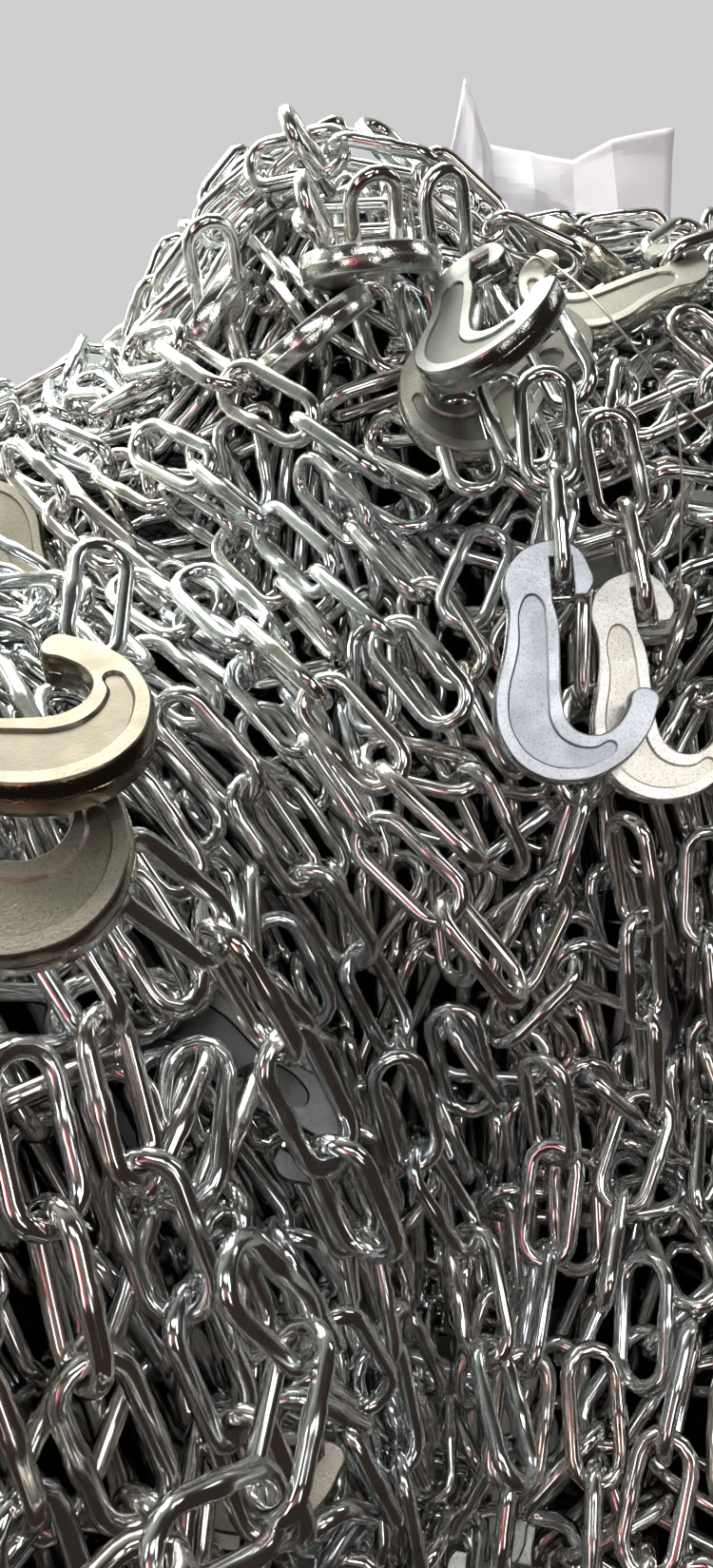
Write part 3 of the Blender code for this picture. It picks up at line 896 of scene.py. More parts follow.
@dataclass(frozen=True)
class TieWire(Finish):
    """Dull drawn steel wire."""

    steel: Colour = (0.45, 0.43, 0.40, 1.0)
    rust: Colour = (0.24, 0.13, 0.07, 1.0)
    rust_scale: float = 60.0

    def shaded(self, shading: Shading) -> Material:
        """Build the material's nodes.

        Args:
            shading: Nodes of the material, to which its own are added.

        Returns:
            The material.
        """
        rust = shading.spread(shading.noise(self.rust_scale, 3.0), 0.0, 0.8, 0.5, 0.7)
        colour = shading.mixed(rust, self.steel, self.rust)
        roughness = shading.spread(rust, 0.3, 0.6)
        return shading.done(Base_Color=colour, Metallic=0.9, Roughness=roughness)


@dataclass(frozen=True)
class PaintedShadeInside(Finish):
    """The dark inside of the heap: painted shade, near-black with a few painted glints."""

    dark: Colour = (0.0015, 0.0015, 0.0015, 1.0)
    painted_glint: Colour = (0.02, 0.019, 0.018, 1.0)
    painted_glint_scale: float = 38.0
    swell_scale: float = 60.0
    swell_depth: float = 0.02

    def shaded(self, shading: Shading) -> Material:
        """Build the material's nodes.

        Args:
            shading: Nodes of the material, to which its own are added.

        Returns:
            The material.
        """
        # painted glints: faint light spots on the near-black inside stand for reflections off deeper
        # links in shade
        painted_glints = shading.spread(shading.noise(self.painted_glint_scale, 1.0), 0.0, 1.0, 0.66, 0.74)
        colour = shading.mixed(painted_glints, self.dark, self.painted_glint)
        normal = shading.bump(shading.noise(self.swell_scale), self.swell_depth)
        return shading.done(Base_Color=colour, Metallic=0.9, Roughness=0.6, Normal=normal)


@dataclass(frozen=True)
class PaleFloor(Finish):
    """Plain pale floor."""

    darker: Colour = grey(0.40)
    paler: Colour = grey(0.43)
    tint_scale: float = 3.0

    def shaded(self, shading: Shading) -> Material:
        """Build the material's nodes."""
        tint = shading.mixed(shading.noise(self.tint_scale), self.darker, self.paler)
        return shading.done(Base_Color=tint, Roughness=0.7)


ZINC = ZincWire("bright_zinc", "zinc_wire")
PAPER = Paper("crumpled_paper", "label_paper")
TIE = TieWire("drawn_wire", "tie_wire")
DEEP = PaintedShadeInside("dark_inside", "hidden_chain")
FLOOR = PaleFloor("pale_floor", "")


def forging(tint_and_light: str, rim: Tint, recess: Tint) -> Forging:
    """Finish of a group of hooks, by the colours of rim and recess, which carry painted light and shade.
    """
    return Forging("forging_" + tint_and_light, "hook_forging", rim=(*rim, 1.0), recess=(*recess, 1.0))


class HookTintAndLight(Enum):
    """The zinc on the hooks: partly real tints and partly painted light and shade, as lit and shaded
    copies.
    """

    # painted light and shade: these are lit and shaded copies of one zinc, lighter or darker by how each
    # hook lies in the light; SHADY and DARK are darkened for hooks in shade and deep in the heap, OLIVE
    # is darkened for a hook that faces the overhead lamp, CREAM is lightened with painted glare, and the
    # tints themselves are partly real zinc colour
    GREY = forging("grey", (0.64, 0.66, 0.70), (0.50, 0.52, 0.56))
    CREAM = forging("cream", (0.96, 0.93, 0.86), (0.86, 0.82, 0.72))
    PALE = forging("pale", (0.50, 0.49, 0.44), (0.30, 0.29, 0.25))
    SHADY = forging("shady", (0.36, 0.37, 0.34), (0.13, 0.135, 0.12))
    TAN = forging("tan", (0.54, 0.50, 0.42), (0.44, 0.40, 0.32))
    OLIVE = forging("olive", (0.19, 0.17, 0.13), (0.12, 0.105, 0.08))
    SILVER = forging("silver", (0.78, 0.79, 0.76), (0.62, 0.62, 0.57))
    DARK = forging("dark", (0.20, 0.20, 0.20), (0.10, 0.10, 0.10))


@dataclass(frozen=True)
class HookPlace:
    """Where a hook lies and what it looks like.

    The pixel is that of its middle, which lies as far behind the mound's surface as its bed
    says. Bank, tilt, spin and turn are in degrees, as the viewer sees them. Links is how many
    hang in its eye, and filling links don't cover a clear hook.
    """

    name: str
    pixel: Pixel
    bank: float
    tilt: float
    spin: float
    turn: float
    bed: float
    links: int
    finish: HookTintAndLight
    clear: bool


@dataclass(frozen=True)
class HookShape:
    """Forged C hook in its own plane, with a raised rim round a recessed web."""

    thickness: float = 0.023
    slot_left: float = -0.0104
    slot_width: float = 0.0144
    slot_top: float = 0.080
    slot_foot: float = 0.046
    block_end: float = 0.049
    block_corner: float = 0.0160
    pin: float = 0.005
    pin_gap: float = 0.0009
    round_steps: int = 5
    web_depth: float = 0.0021
    web_slope: float = 0.0016
    edge: tuple[Flat, ...] = (
        (0.0, 0.0005), (0.00035, 0.0009), (0.0008, 0.0095), (0.0024, 0.0115),
    )
    sphere_step: float = 0.010
    sphere_lift: float = 0.005
    sphere_low: Flat = (-0.07, -0.10)
    sphere_high: Flat = (0.08, 0.11)
    filled_inset: float = 0.004
    border_inset: float = 0.006
    crease: float = math.radians(38.0)
    back: tuple[Flat, ...] = (
        (-0.0150, 0.0960), (-0.0350, 0.0880), (-0.0485, 0.0660), (-0.0465, 0.0420), (-0.0510, 0.0120),
        (-0.0630, -0.0340), (-0.0570, -0.0650), (-0.0360, -0.0880), (-0.0030, -0.0945), (0.0270, -0.0850),
        (0.0500, -0.0650), (0.0620, -0.0420),
    )
    mouth: tuple[Flat, ...] = (
        (0.0640, -0.0310), (0.0550, -0.0240), (0.0440, -0.0260), (0.0390, -0.0380), (0.0260, -0.0540),
        (0.0100, -0.0580), (-0.0050, -0.0490), (-0.0095, -0.0320), (-0.0085, 0.0000), (-0.0075, 0.0300),
    )
    bow: tuple[Flat, ...] = ((0.0220, 0.0600), (0.0195, 0.0730), (0.0120, 0.0880), (0.0000, 0.0955))
    web: tuple[Flat, ...] = (
        (-0.0290, 0.0535), (-0.0375, 0.0440), (-0.0410, 0.0140), (-0.0525, -0.0340), (-0.0475, -0.0600),
        (-0.0310, -0.0780), (-0.0030, -0.0845), (0.0180, -0.0790), (0.0285, -0.0700), (0.0255, -0.0640),
        (0.0100, -0.0680), (-0.0095, -0.0620), (-0.0190, -0.0480), (-0.0200, -0.0300), (-0.0185, 0.0000),
        (-0.0175, 0.0300), (-0.0200, 0.0480),
    )

    def slot(self) -> tuple[Flat, ...]:
        """Corners of the eye's slot and of the block beside it.

        Returns:
            The corners, in the hook's plane.
        """
        right = self.slot_left + self.slot_width
        return (
            (self.slot_left, self.slot_foot), (self.slot_left, self.slot_top), (right, self.slot_top),
            (right, self.block_end), (self.block_corner, self.block_end),
        )

    def sampled(self, points: tuple[tuple[float, float, str], ...]) -> Array:
        """Closed Bezier outline through rounded points and corners, counter-clockwise.

        Args:
            points: Control points, each x, y and its kind of handle.

        Returns:
            Points of the outline, one a row.
        """
        curve = bpy.data.curves.new("outline", "CURVE")
        curve.dimensions = "3D"
        curve.resolution_u = self.round_steps
        spline = curve.splines.new("BEZIER")
        spline.bezier_points.add(len(points) - 1)
        for control, (x, y, kind) in zip(spline.bezier_points, points):
            control.co = (x, y, 0.0)
            control.handle_left_type = kind
            control.handle_right_type = kind
        spline.use_cyclic_u = True
        holder = bpy.data.objects.new("outline", curve)
        bpy.context.scene.collection.objects.link(holder)
        bpy.context.view_layer.update()
        mesh = holder.evaluated_get(bpy.context.evaluated_depsgraph_get()).to_mesh()
        outline = np.array([vertex.co[:2] for vertex in mesh.vertices])
        bpy.data.objects.remove(holder)
        bpy.data.curves.remove(curve)
        after = np.roll(outline, -1, axis=0)
        area = (outline[:, 0] * after[:, 1] - outline[:, 1] * after[:, 0]).sum()
        return outline if area > 0 else outline[::-1]

    def outline(self) -> Array:
        """The hook's whole outline.

        Returns:
            Points of the outline, one a row.
        """
        rounded = [(*point, "AUTO") for point in self.back + self.mouth]
        corners = [(*point, "VECTOR") for point in self.slot()]
        bow = [(*point, "AUTO") for point in self.bow]
        return self.sampled(tuple(rounded + corners + bow))

    def web_outline(self) -> Array:
        """Outline of the recess."""
        return self.sampled(tuple((*point, "AUTO") for point in self.web))

    def body(self) -> tuple[Array, list, dict[str, Array]]:
        """Vertices and faces of one hook, and the marks of its recess and of its flat faces.

        Returns:
            Vertices, faces, and the values of each mark.
        """
        outline = self.outline()
        web = self.web_outline()
        levels = [(inset, -z) for inset, z in reversed(self.edge)] + list(self.edge)
        rings = [with_height(inset_polygon(outline, inset), z) for inset, z in levels]
        points = list(rings)
        faces = [list(quad) for quad in ring_quads(len(rings), len(outline), closed=False)[:, ::-1]]
        start = len(rings) * len(outline)
        webs = [np.zeros(start)]
        flats = [np.zeros(start)]
        flats[0][: len(outline)] = 1.0
        flats[0][-len(outline):] = 1.0
        half = 0.5 * self.thickness
        inner = inset_polygon(web, self.web_slope)
        rim_loop = inset_polygon(outline, self.edge[-1][0])
        web_quads = ring_quads(2, len(web), closed=False)[:, ::-1]
        for side, rim in ((1.0, len(rings) - 1), (-1.0, 0)):
            points.append(with_height(web, side * half))
            points.append(with_height(inner, side * (half - self.web_depth)))
            rim_numbers = rim * len(outline) + np.arange(len(outline))
            lip_numbers = start + np.arange(len(web))
            faces += filled([rim_loop, web], np.concatenate([rim_numbers, lip_numbers]), side)
            faces += [list(quad[:: int(side)] + start) for quad in web_quads]
            faces += filled([inner], lip_numbers + len(web), side)
            webs += [np.zeros(len(web)), np.ones(len(web))]
            flats.append(np.ones(2 * len(web)))
            start += 2 * len(web)
        marks = {"web": np.concatenate(webs), "face": np.concatenate(flats)}
        return np.vstack(points), faces, marks

    def spheres(self) -> Array:
        """Middles of the spheres that stand for a hook while links settle.

        Returns:
            The middles, in the hook's own axes.
        """
        outline = self.outline()
        spans = zip(self.sphere_low, self.sphere_high)
        ways = [np.arange(low, high, self.sphere_step) for low, high in spans]
        grid = np.stack(np.meshgrid(*ways), axis=-1).reshape(-1, 2)
        inside = grid[points_inside(inset_polygon(outline, self.filled_inset), grid)]
        border = inset_polygon(outline, self.border_inset)[::2]
        flat = np.vstack([inside, border])
        return np.vstack([with_height(flat, z) for z in (self.sphere_lift, -self.sphere_lift)])


def filled(loops: list[Array], numbers: Array, side: float) -> list[list[int]]:
    """Triangles that fill an outline with holes.

    Args:
        loops: Plane points of the outline and of each hole.
        numbers: Vertex number of each of these points.
        side: 1 to face up and -1 to face down.

    Returns:
        Vertex numbers of each triangle.
    """
    flat = [[Vector((*xy, 0.0)) for xy in loop] for loop in loops]
    triangles = [numbers[list(face)] for face in tessellate_polygon(flat)]
    return [(corners if side > 0 else corners[::-1]).tolist() for corners in triangles]


def with_height(points: Array, z: float) -> Array:
    """Plane points given one height."""
    return np.column_stack([points, np.full(len(points), z)])


def inset_polygon(polygon: Array, distance: float) -> Array:
    """A counter-clockwise polygon drawn in by a distance, further at its corners.

    Args:
        polygon: Corners, one a row.
        distance: How far it is drawn in.

    Returns:
        Corners of the smaller polygon.
    """
    before = unit(polygon - np.roll(polygon, 1, axis=0))
    after = unit(np.roll(polygon, -1, axis=0) - polygon)
    inward = unit(quarter_turned(before + after))
    slant = (inward * quarter_turned(after)).sum(axis=1)
    stretch = np.clip(1.0 / np.clip(slant, LEAST_SLANT, None), 1.0, MOST_STRETCH)
    return polygon + distance * stretch[:, None] * inward


def quarter_turned(ways: Array) -> Array:
    """Plane directions turned left by a quarter turn."""
    return np.column_stack([-ways[:, 1], ways[:, 0]])


HOOK = HookShape()


@dataclass
class Hook:
    """A hook in the heap, with the links in its eye."""

    place: HookPlace
    sight: Sight
    mound: Mound
    matrix: Matrix = field(init=False)

    def __post_init__(self) -> None:
        """Find where the hook has come to rest, from the CAD node if there is one."""
        view = Matrix(self.sight.axes.T.tolist()).to_4x4()
        place = self.place
        pose = (
            Matrix.Rotation(math.radians(place.bank), 4, "Z")
            @ Matrix.Rotation(math.radians(place.tilt), 4, "X")
            @ Matrix.Rotation(math.radians(-place.spin), 4, "Z")
            @ Matrix.Rotation(math.radians(place.turn), 4, "Y")
        )
        ray = self.sight.ray(place.pixel)
        middle = self.sight.on_mound(place.pixel, self.mound) + ray * place.bed
        self.matrix = Matrix.Translation(middle) @ view @ pose
        if place.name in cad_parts:
            half = 0.5 * HOOK.thickness
            corners = np.vstack([with_height(HOOK.outline(), z) for z in (-half, half)])
            shift = rest_shift(place.name, self.placed(corners), unit(ray))
            self.matrix = Matrix.Translation(shift) @ self.matrix

    def placed(self, local: Array) -> Array:
        """Where points given in the hook's own axes lie."""
        matrix = np.array(self.matrix)
        return local @ matrix[:3, :3].T + matrix[:3, 3]

    def links(self) -> Links:
        """The links that hang in the eye.

        Returns:
            The links, none if the place asks for none.
        """
        start = HOOK.block_end + HOOK.pin + LINK.wire + HOOK.pin_gap
        x = HOOK.slot_left + 0.5 * HOOK.slot_width
        ys = start + LINK.inside * np.arange(self.place.links + 1)
        nodes = self.placed(np.column_stack([np.full(len(ys), x), ys, np.zeros(len(ys))]))
        rolls = math.radians(QUARTER_TURN) * (1 + np.arange(self.place.links))
        facing = np.array(self.matrix)[:3, 2]
        return Links.between(nodes, rolls, np.tile(facing, (self.place.links, 1)))

    def spheres(self) -> Array:
        """Spheres that keep settling links out of the hook."""
        return self.placed(HOOK.spheres())

    def covers(self, points: Array, width: float = 0.009) -> Array:
        """Which points hide a part of the hook from the eye.

        Args:
            points: Points in front of the eye.
            width: How near to the hook's own points, at arm's length, they hide it.

        Returns:
            True for each point that hides the hook.
        """
        own = self.sight.seen(self.spheres())
        seen = self.sight.seen(points)
        low, high = own[:, :2].min(axis=0) - width, own[:, :2].max(axis=0) + width
        near = ((seen[:, :2] > low) & (seen[:, :2] < high)).all(axis=1)
        numbers = np.flatnonzero(near & (seen[:, 2] < own[:, 2].max()))
        away = np.linalg.norm(seen[numbers, None, :2] - own[None, :, :2], axis=-1)
        closest = away.argmin(axis=1)
        hides = (away.min(axis=1) < width) & (seen[numbers, 2] < own[closest, 2])
        hidden = np.zeros(len(points), bool)
        hidden[numbers[hides]] = True
        return hidden

    def build(self) -> Piece:
        """The hook's piece.

        Returns:
            The piece, named after the hook's place.
        """
        points, faces, marks = HOOK.body()
        made = mesh_object(self.place.name + "_body", self.placed(points), faces, marks)
        made.data.set_sharp_from_angle(angle=HOOK.crease)
        return dressed(made, self.place.finish.value)


HOOKS = (
    HookPlace("hook_peak_flat", (392, 286), 6, -74, 6, 0, 0.005, 0, HookTintAndLight.SILVER, True),
    HookPlace("hook_peak_slant", (324, 360), 38, -74, 0, 0, 0.01, 0, HookTintAndLight.SILVER, True),
    HookPlace("hook_left_crest", (216, 350), 58, -76, 0, 0, 0.01, 0, HookTintAndLight.SILVER, True),
    HookPlace("hook_left_edge", (150, 402), 86, -74, 0, 180, 0.06, 0, HookTintAndLight.SILVER, False),
    HookPlace("hook_right_low", (640, 1030), 0, -6, 6, 150, 0.05, 0, HookTintAndLight.DARK, False),
    HookPlace("hook_low_dark", (230, 1160), 0, -20, 118, 0, 0.03, 0, HookTintAndLight.DARK, False),
    HookPlace("hook_right_eye", (640, 300), 0, -34, 62, 180, 0.0, 2, HookTintAndLight.PALE, True),
    HookPlace("hook_cream", (519, 396), 0, -24, 44, 180, 0.0, 0, HookTintAndLight.PALE, True),
    HookPlace("hook_upright", (514, 324), 42, -52, 34, 0, 0.0, 0, HookTintAndLight.SHADY, True),
    HookPlace("hook_right_back", (694, 722), 0, -10, -8, 0, 0.0, 2, HookTintAndLight.CREAM, True),
    HookPlace("hook_front", (600, 697), 0, -8, -3, 0, 0.0, 2, HookTintAndLight.GREY, True),
    HookPlace("hook_left_lower", (-50, 888), 0, -34, -82, 0, 0.0, 0, HookTintAndLight.TAN, True),
    HookPlace("hook_left_upper", (-26, 758), 0, -48, -90, 0, 0.0, 0, HookTintAndLight.OLIVE, True),
    HookPlace("half_hook_low", (272, 1455), 0, -24, 8, 0, 0.045, 0, HookTintAndLight.TAN, False),
    HookPlace("half_hook_foot", (425, 1405), 40, -40, 70, 0, 0.045, 0, HookTintAndLight.CREAM, False),
    HookPlace("half_hook_bottom", (505, 1560), 0, -40, 190, 0, 0.018, 0, HookTintAndLight.SILVER, False),
    HookPlace("half_hook_pale", (700, 600), 10, -30, 60, 0, 0.020, 0, HookTintAndLight.SILVER, False),
    HookPlace("half_hook_crest", (612, 282), -32, -74, 0, 0, 0.010, 0, HookTintAndLight.TAN, True),
    HookPlace("half_hook_edge", (-8, 600), 0, -20, 150, 0, 0.020, 0, HookTintAndLight.TAN, False),
    HookPlace("half_hook_left", (115, 625), 0, -35, 70, 0, 0.045, 0, HookTintAndLight.SILVER, False),
)


@dataclass(frozen=True)
class Strand:
    """A strand that stands for a CAD node.

    It is given by the points that it passes, which are pixels or, if it isn't seen, the floor
    plan's x and y, by how many links it has, and by the roll of the first in degrees.
    """

    name: str
    points: tuple[Pixel, ...]
    count: int
    roll: float
    seen: bool = True
    lift: float = 0.024
    steps: int = 16
    run_on: float = 0.01
    run_on_steps: int = 60
    wobble: float = 14.0
    beat: float = 2.1

    def route(self, sight: Sight, mound: Mound) -> Array:
        """Centreline that the strand is laid along.

        Args:
            sight: The photograph's point of view.
            mound: Surface that the heap's links lie round.

        Returns:
            Points of the centreline, run on past its end.
        """
        points = np.array(self.points, float)
        if self.seen:
            points = np.array([sight.on_mound(pixel, mound)[:2] for pixel in self.points])
        flat = smooth_curve(points, self.steps)
        ahead = unit(flat[-1] - flat[-2])
        more = flat[-1] + ahead * self.run_on * np.arange(1, self.run_on_steps)[:, None]
        return mound.lifted(np.vstack([flat, more]), self.lift)

    def links(self, sight: Sight, mound: Mound) -> Links:
        """The strand's links, moved to where the CAD strand came to rest.

        Args:
            sight: The photograph's point of view.
            mound: Surface that the heap's links lie round.

        Returns:
            The links.
        """
        nodes = self.nodes(self.route(sight, mound))
        middles = 0.5 * (nodes[1:] + nodes[:-1])
        order = np.arange(self.count)
        wobble = self.wobble * np.sin(self.beat * order + self.roll)
        rolls = np.radians(self.roll + QUARTER_TURN * order + wobble)
        links = Links.between(nodes, rolls, mound.normal(middles[:, :2]))
        if self.seen:
            way = unit(sight.ray(self.points[len(self.points) // 2]))
        else:
            way = -mound.normal(nodes[len(nodes) // 2, :2])
        points = links.placed(LINK.mesh(Detail.DEEP)[0]).reshape(-1, 3)
        return links.moved(rest_shift(self.name, points, way))

    def nodes(self, route: Array) -> Array:
        """Points along a route, one link's pitch apart in a straight line.

        Args:
            route: Points of the centreline.

        Returns:
            One node more than there are links.
        """
        nodes = [route[0]]
        index = 0
        last = len(route) - 1
        while len(nodes) <= self.count:
            while index < last and np.linalg.norm(route[index + 1] - nodes[-1]) < LINK.inside:
                index += 1
            if index >= last:
                nodes.append(nodes[-1] + unit(nodes[-1] - nodes[-2]) * LINK.inside)
                continue
            step = route[index + 1] - route[index]
            away = route[index] - nodes[-1]
            nodes.append(route[index] + step_to_distance(step, away, LINK.inside))
        return np.array(nodes)


STRANDS = (
    Strand("strand_crest_left", ((172, 392), (275, 425), (375, 486), (452, 560)), 4, 12),
    Strand("strand_shoulder", ((60, 482), (165, 520), (258, 575), (330, 650), (392, 742)), 5, 70),
    Strand("strand_upper_mid", ((176, 482), (285, 548), (362, 622), (440, 705), (505, 800)), 5, 10),
    Strand("strand_mid_right", ((332, 505), (412, 590), (478, 690), (528, 790), (560, 880)), 4, 20),
    Strand("strand_left_drop", ((20, 505), (80, 560), (140, 610), (205, 668)), 4, 80),
    Strand(
        "strand_mid",
        ((150, 650), (245, 728), (330, 812), (420, 890), (500, 985), (560, 1070)),
        6, 15,
    ),
    Strand("strand_mid_low", ((165, 765), (245, 850), (320, 960), (400, 1060), (452, 1150)), 5, 75),
    Strand("strand_low_left", ((120, 955), (205, 1020), (268, 1130), (320, 1235)), 4, 30),
    Strand("strand_near_left", ((10, 960), (80, 1075), (112, 1210), (150, 1330), (196, 1440)), 5, 70),
    Strand("strand_near_edge", ((0, 1120), (28, 1240), (40, 1370), (92, 1500)), 4, 10),
    Strand("strand_near_bottom", ((215, 1350), (300, 1450), (262, 1560), (130, 1625)), 4, 5),
    Strand("strand_low_mid", ((300, 1215), (345, 1320), (365, 1440), (390, 1560)), 4, 40),
    Strand("strand_valley", ((415, 1120), (455, 1230), (505, 1330), (540, 1450)), 4, 0),
    Strand("strand_right_hang", ((640, 870), (655, 960), (660, 1060), (664, 1160), (650, 1290)), 5, 85),
    Strand("strand_right_side", ((735, 880), (732, 1000), (742, 1110), (740, 1250)), 4, 20),
    Strand("strand_right_top", ((560, 500), (650, 470), (735, 430)), 3, 50),
    Strand("strand_peak", ((285, 200), (340, 188), (400, 186), (450, 210), (500, 262)), 4, 35),
    Strand("strand_mid_upper", ((235, 640), (310, 715), (385, 785), (455, 855), (500, 900)), 4, 5),
    Strand("strand_foot", ((560, 1110), (572, 1210), (585, 1320), (570, 1430)), 5, 50),
    Strand(
        "strand_left_side",
        ((-0.36, 0.06), (-0.60, -0.10), (-0.74, -0.06), (-0.80, 0.06)),
        6, 20, False,
    ),
    Strand(
        "strand_left_back",
        ((-0.22, 0.20), (-0.44, 0.42), (-0.52, 0.58), (-0.50, 0.70)),
        7, 60, False,
    ),
    Strand(
        "strand_back_left",
        ((-0.06, 0.30), (-0.14, 0.58), (-0.06, 0.74), (-0.04, 0.84)),
        8, 10, False,
    ),
    Strand("strand_back", ((0.20, 0.28), (0.26, 0.56), (0.38, 0.74), (0.36, 0.86)), 8, 45, False),
    Strand("strand_back_right", ((0.44, 0.24), (0.66, 0.46), (0.82, 0.60)), 7, 80, False),
    Strand("strand_right_back", ((0.60, 0.04), (0.86, 0.16), (0.99, 0.26)), 6, 15, False),
    Strand("strand_right_flank", ((0.50, -0.06), (0.66, -0.28), (0.78, -0.40)), 6, 60, False),
    Strand("strand_lobe_left", ((-0.42, -0.40), (-0.56, -0.62), (-0.54, -0.84)), 6, 30, False),
)


@dataclass(frozen=True)
class LooseLink:
    """A link that stands out at the front.

    It is given by the pixels of its two ends, how far the first stands off the mound towards
    the eye, its roll in degrees, where 0 faces the eye, and whether its second end is nearer.
    """

    first: Pixel
    second: Pixel
    lift: float
    roll: float
    nearer: bool = False
    length: float = 0.095

    def links(self, sight: Sight, mound: Mound) -> Links:
        """The link, alone in a group.

        Args:
            sight: The photograph's point of view.
            mound: Surface that the heap's links lie round.

        Returns:
            A group of one.
        """
        eye = np.array(sight.eye)
        start = sight.on_mound(self.first, mound)
        start = start + self.lift * unit(eye - start)
        way = -1.0 if self.nearer else 1.0
        end = eye + step_to_distance(sight.ray(self.second), eye - start, self.length, way)
        half = 0.5 * LINK.inside * unit(end - start)
        middle = 0.5 * (start + end)
        nodes = np.array([middle - half, middle + half])
        return Links.between(nodes, np.radians([self.roll]), unit(eye - middle)[None])


LOOSE_LINKS = (
    LooseLink((345, 190), (303, 128), 0.020, 78, True),
    LooseLink((441, 190), (388, 131), 0.015, 66, False),
    LooseLink((396, 286), (391, 183), 0.045, 20, True),
    LooseLink((476, 300), (464, 180), 0.040, 35, True),
    LooseLink((425, 228), (312, 232), 0.035, 58, False),
    LooseLink((234, 338), (218, 233), 0.020, 12, True),
    LooseLink((262, 403), (240, 332), 0.030, 80, False),
    LooseLink((455, 408), (425, 305), 0.030, 70, False),
    LooseLink((342, 432), (446, 398), 0.030, 62, False),
    LooseLink((420, 392), (385, 300), 0.020, 30, False),
    LooseLink((350, 262), (318, 200), 0.030, 74, True),
    LooseLink((645, 480), (660, 388), 0.030, 60, False),
    LooseLink((618, 482), (660, 530), 0.030, 10, False),
    LooseLink((566, 338), (610, 420), 0.115, 20, True),
    LooseLink((505, 515), (478, 420), 0.075, 12, False),
    LooseLink((563, 492), (523, 398), 0.082, 35, False),
    LooseLink((480, 655), (520, 560), 0.030, 8, False),
    LooseLink((95, 690), (110, 575), 0.045, 14, False),
)


@dataclass(frozen=True)
class Label:
    """Blank folded paper label on the crest.

    It is given by the pixels of its edges and how far each column bulges. A crease is a line
    over the sheet: how far along it lies, its two ways, and how deep it folds.
    """

    top: tuple[Pixel, ...] = (
        (471, 156), (486, 74), (503, 118), (517, 125), (560, 127), (606, 138), (645, 122), (713, 107),
    )
    bottom: tuple[Pixel, ...] = (
        (473, 176), (492, 205), (507, 222), (520, 234), (560, 237), (606, 237), (650, 237), (703, 237),
    )
    bulge: tuple[float, ...] = (-0.012, 0.004, 0.006, -0.006, 0.006, -0.004, 0.008, -0.004)
    distance: float = 1.26
    drop: Place = (0.0, 0.12, -1.0)
    fold_from: float = 0.25
    fold_turns: float = 0.6
    steps: int = 6
    rows: int = 18
    crumple: float = 0.0016
    crumple_scale: float = 18.0
    crumple_base: float = 0.3
    crease_reach: float = 0.30
    sphere_rows: int = 4
    sphere_columns: int = 3
    creases: tuple[tuple[float, float, float, float], ...] = (
        (0.45, 1.00, 0.30, 0.060), (0.10, 0.95, -0.60, -0.050), (0.30, 0.20, 1.00, 0.030),
        (0.46, 0.40, 0.95, 0.040), (0.72, 0.85, 0.45, -0.045), (0.16, 1.00, -0.15, 0.050),
    )
    thickness: float = 0.0004
    crisp: float = math.radians(5.0)

    def points(self, sight: Sight) -> Array:
        """Sheet of points, by row and column, where the CAD label came to rest.

        Args:
            sight: The photograph's point of view.

        Returns:
            Points by row, column and axis.
        """
        edges = [np.column_stack([edge, self.bulge]) for edge in (self.bottom, self.top)]
        low, high = (straight_spans(edge, self.steps) for edge in edges)
        back = sight.axes[2]
        sheet = []
        for share in np.linspace(0.0, 1.0, self.rows):
            row = low + (high - low) * share
            rays = np.array([sight.ray(pixel) for pixel in row[:, :2]])
            fold = row[:, 2] * math.sin(math.pi * (self.fold_from + self.fold_turns * share))
            sheet.append(np.array(sight.eye) + rays * self.distance + fold[:, None] * back)
        points = np.array(sheet)
        return points + rest_shift("paper_label", points.reshape(-1, 3), unit(np.array(self.drop)))

    def spheres(self, sight: Sight) -> Array:
        """Spheres that keep settling links out of the sheet."""
        return self.points(sight)[:: self.sphere_rows, :: self.sphere_columns].reshape(-1, 3)

    def folds(self, rows: int, columns: int) -> Array:
        """How far sharp creases bring each point of the sheet forward.

        Args:
            rows: Points up the sheet.
            columns: Points along it.

        Returns:
            A distance for each row and column.
        """
        along, up = np.meshgrid(np.linspace(0.0, 1.0, columns), np.linspace(0.0, 1.0, rows))
        forward = np.zeros((rows, columns))
        for offset, across, rise, depth in self.creases:
            away = np.abs(across * along + rise * 0.5 * up - offset)
            forward += depth * np.clip(self.crease_reach - away, 0.0, None)
        return forward

    def build(self, sight: Sight) -> Piece:
        """The label's piece.

        Args:
            sight: The photograph's point of view.

        Returns:
            The piece.
        """
        sheet = self.points(sight)
        back = Vector(sight.axes[2])
        flat = sheet.reshape(-1, 3)
        creased = []
        rows, columns = sheet.shape[:2]
        folds = self.folds(rows, columns).ravel()
        for point, fold in zip(flat, folds):
            rough = abs(noise.noise(Vector(point) * self.crumple_scale)) - self.crumple_base
            creased.append(Vector(point) + back * (self.crumple * rough + fold))
        quads = cell_quads(cell_corners(rows, columns), columns)
        made = mesh_object("paper_label_sheet", np.array(creased), quads, {})
        made.data.set_sharp_from_angle(angle=self.crisp)
        skin = made.modifiers.new("thickness", "SOLIDIFY")
        skin.thickness = self.thickness
        skin.offset = 0.0
        return dressed(made, PAPER)


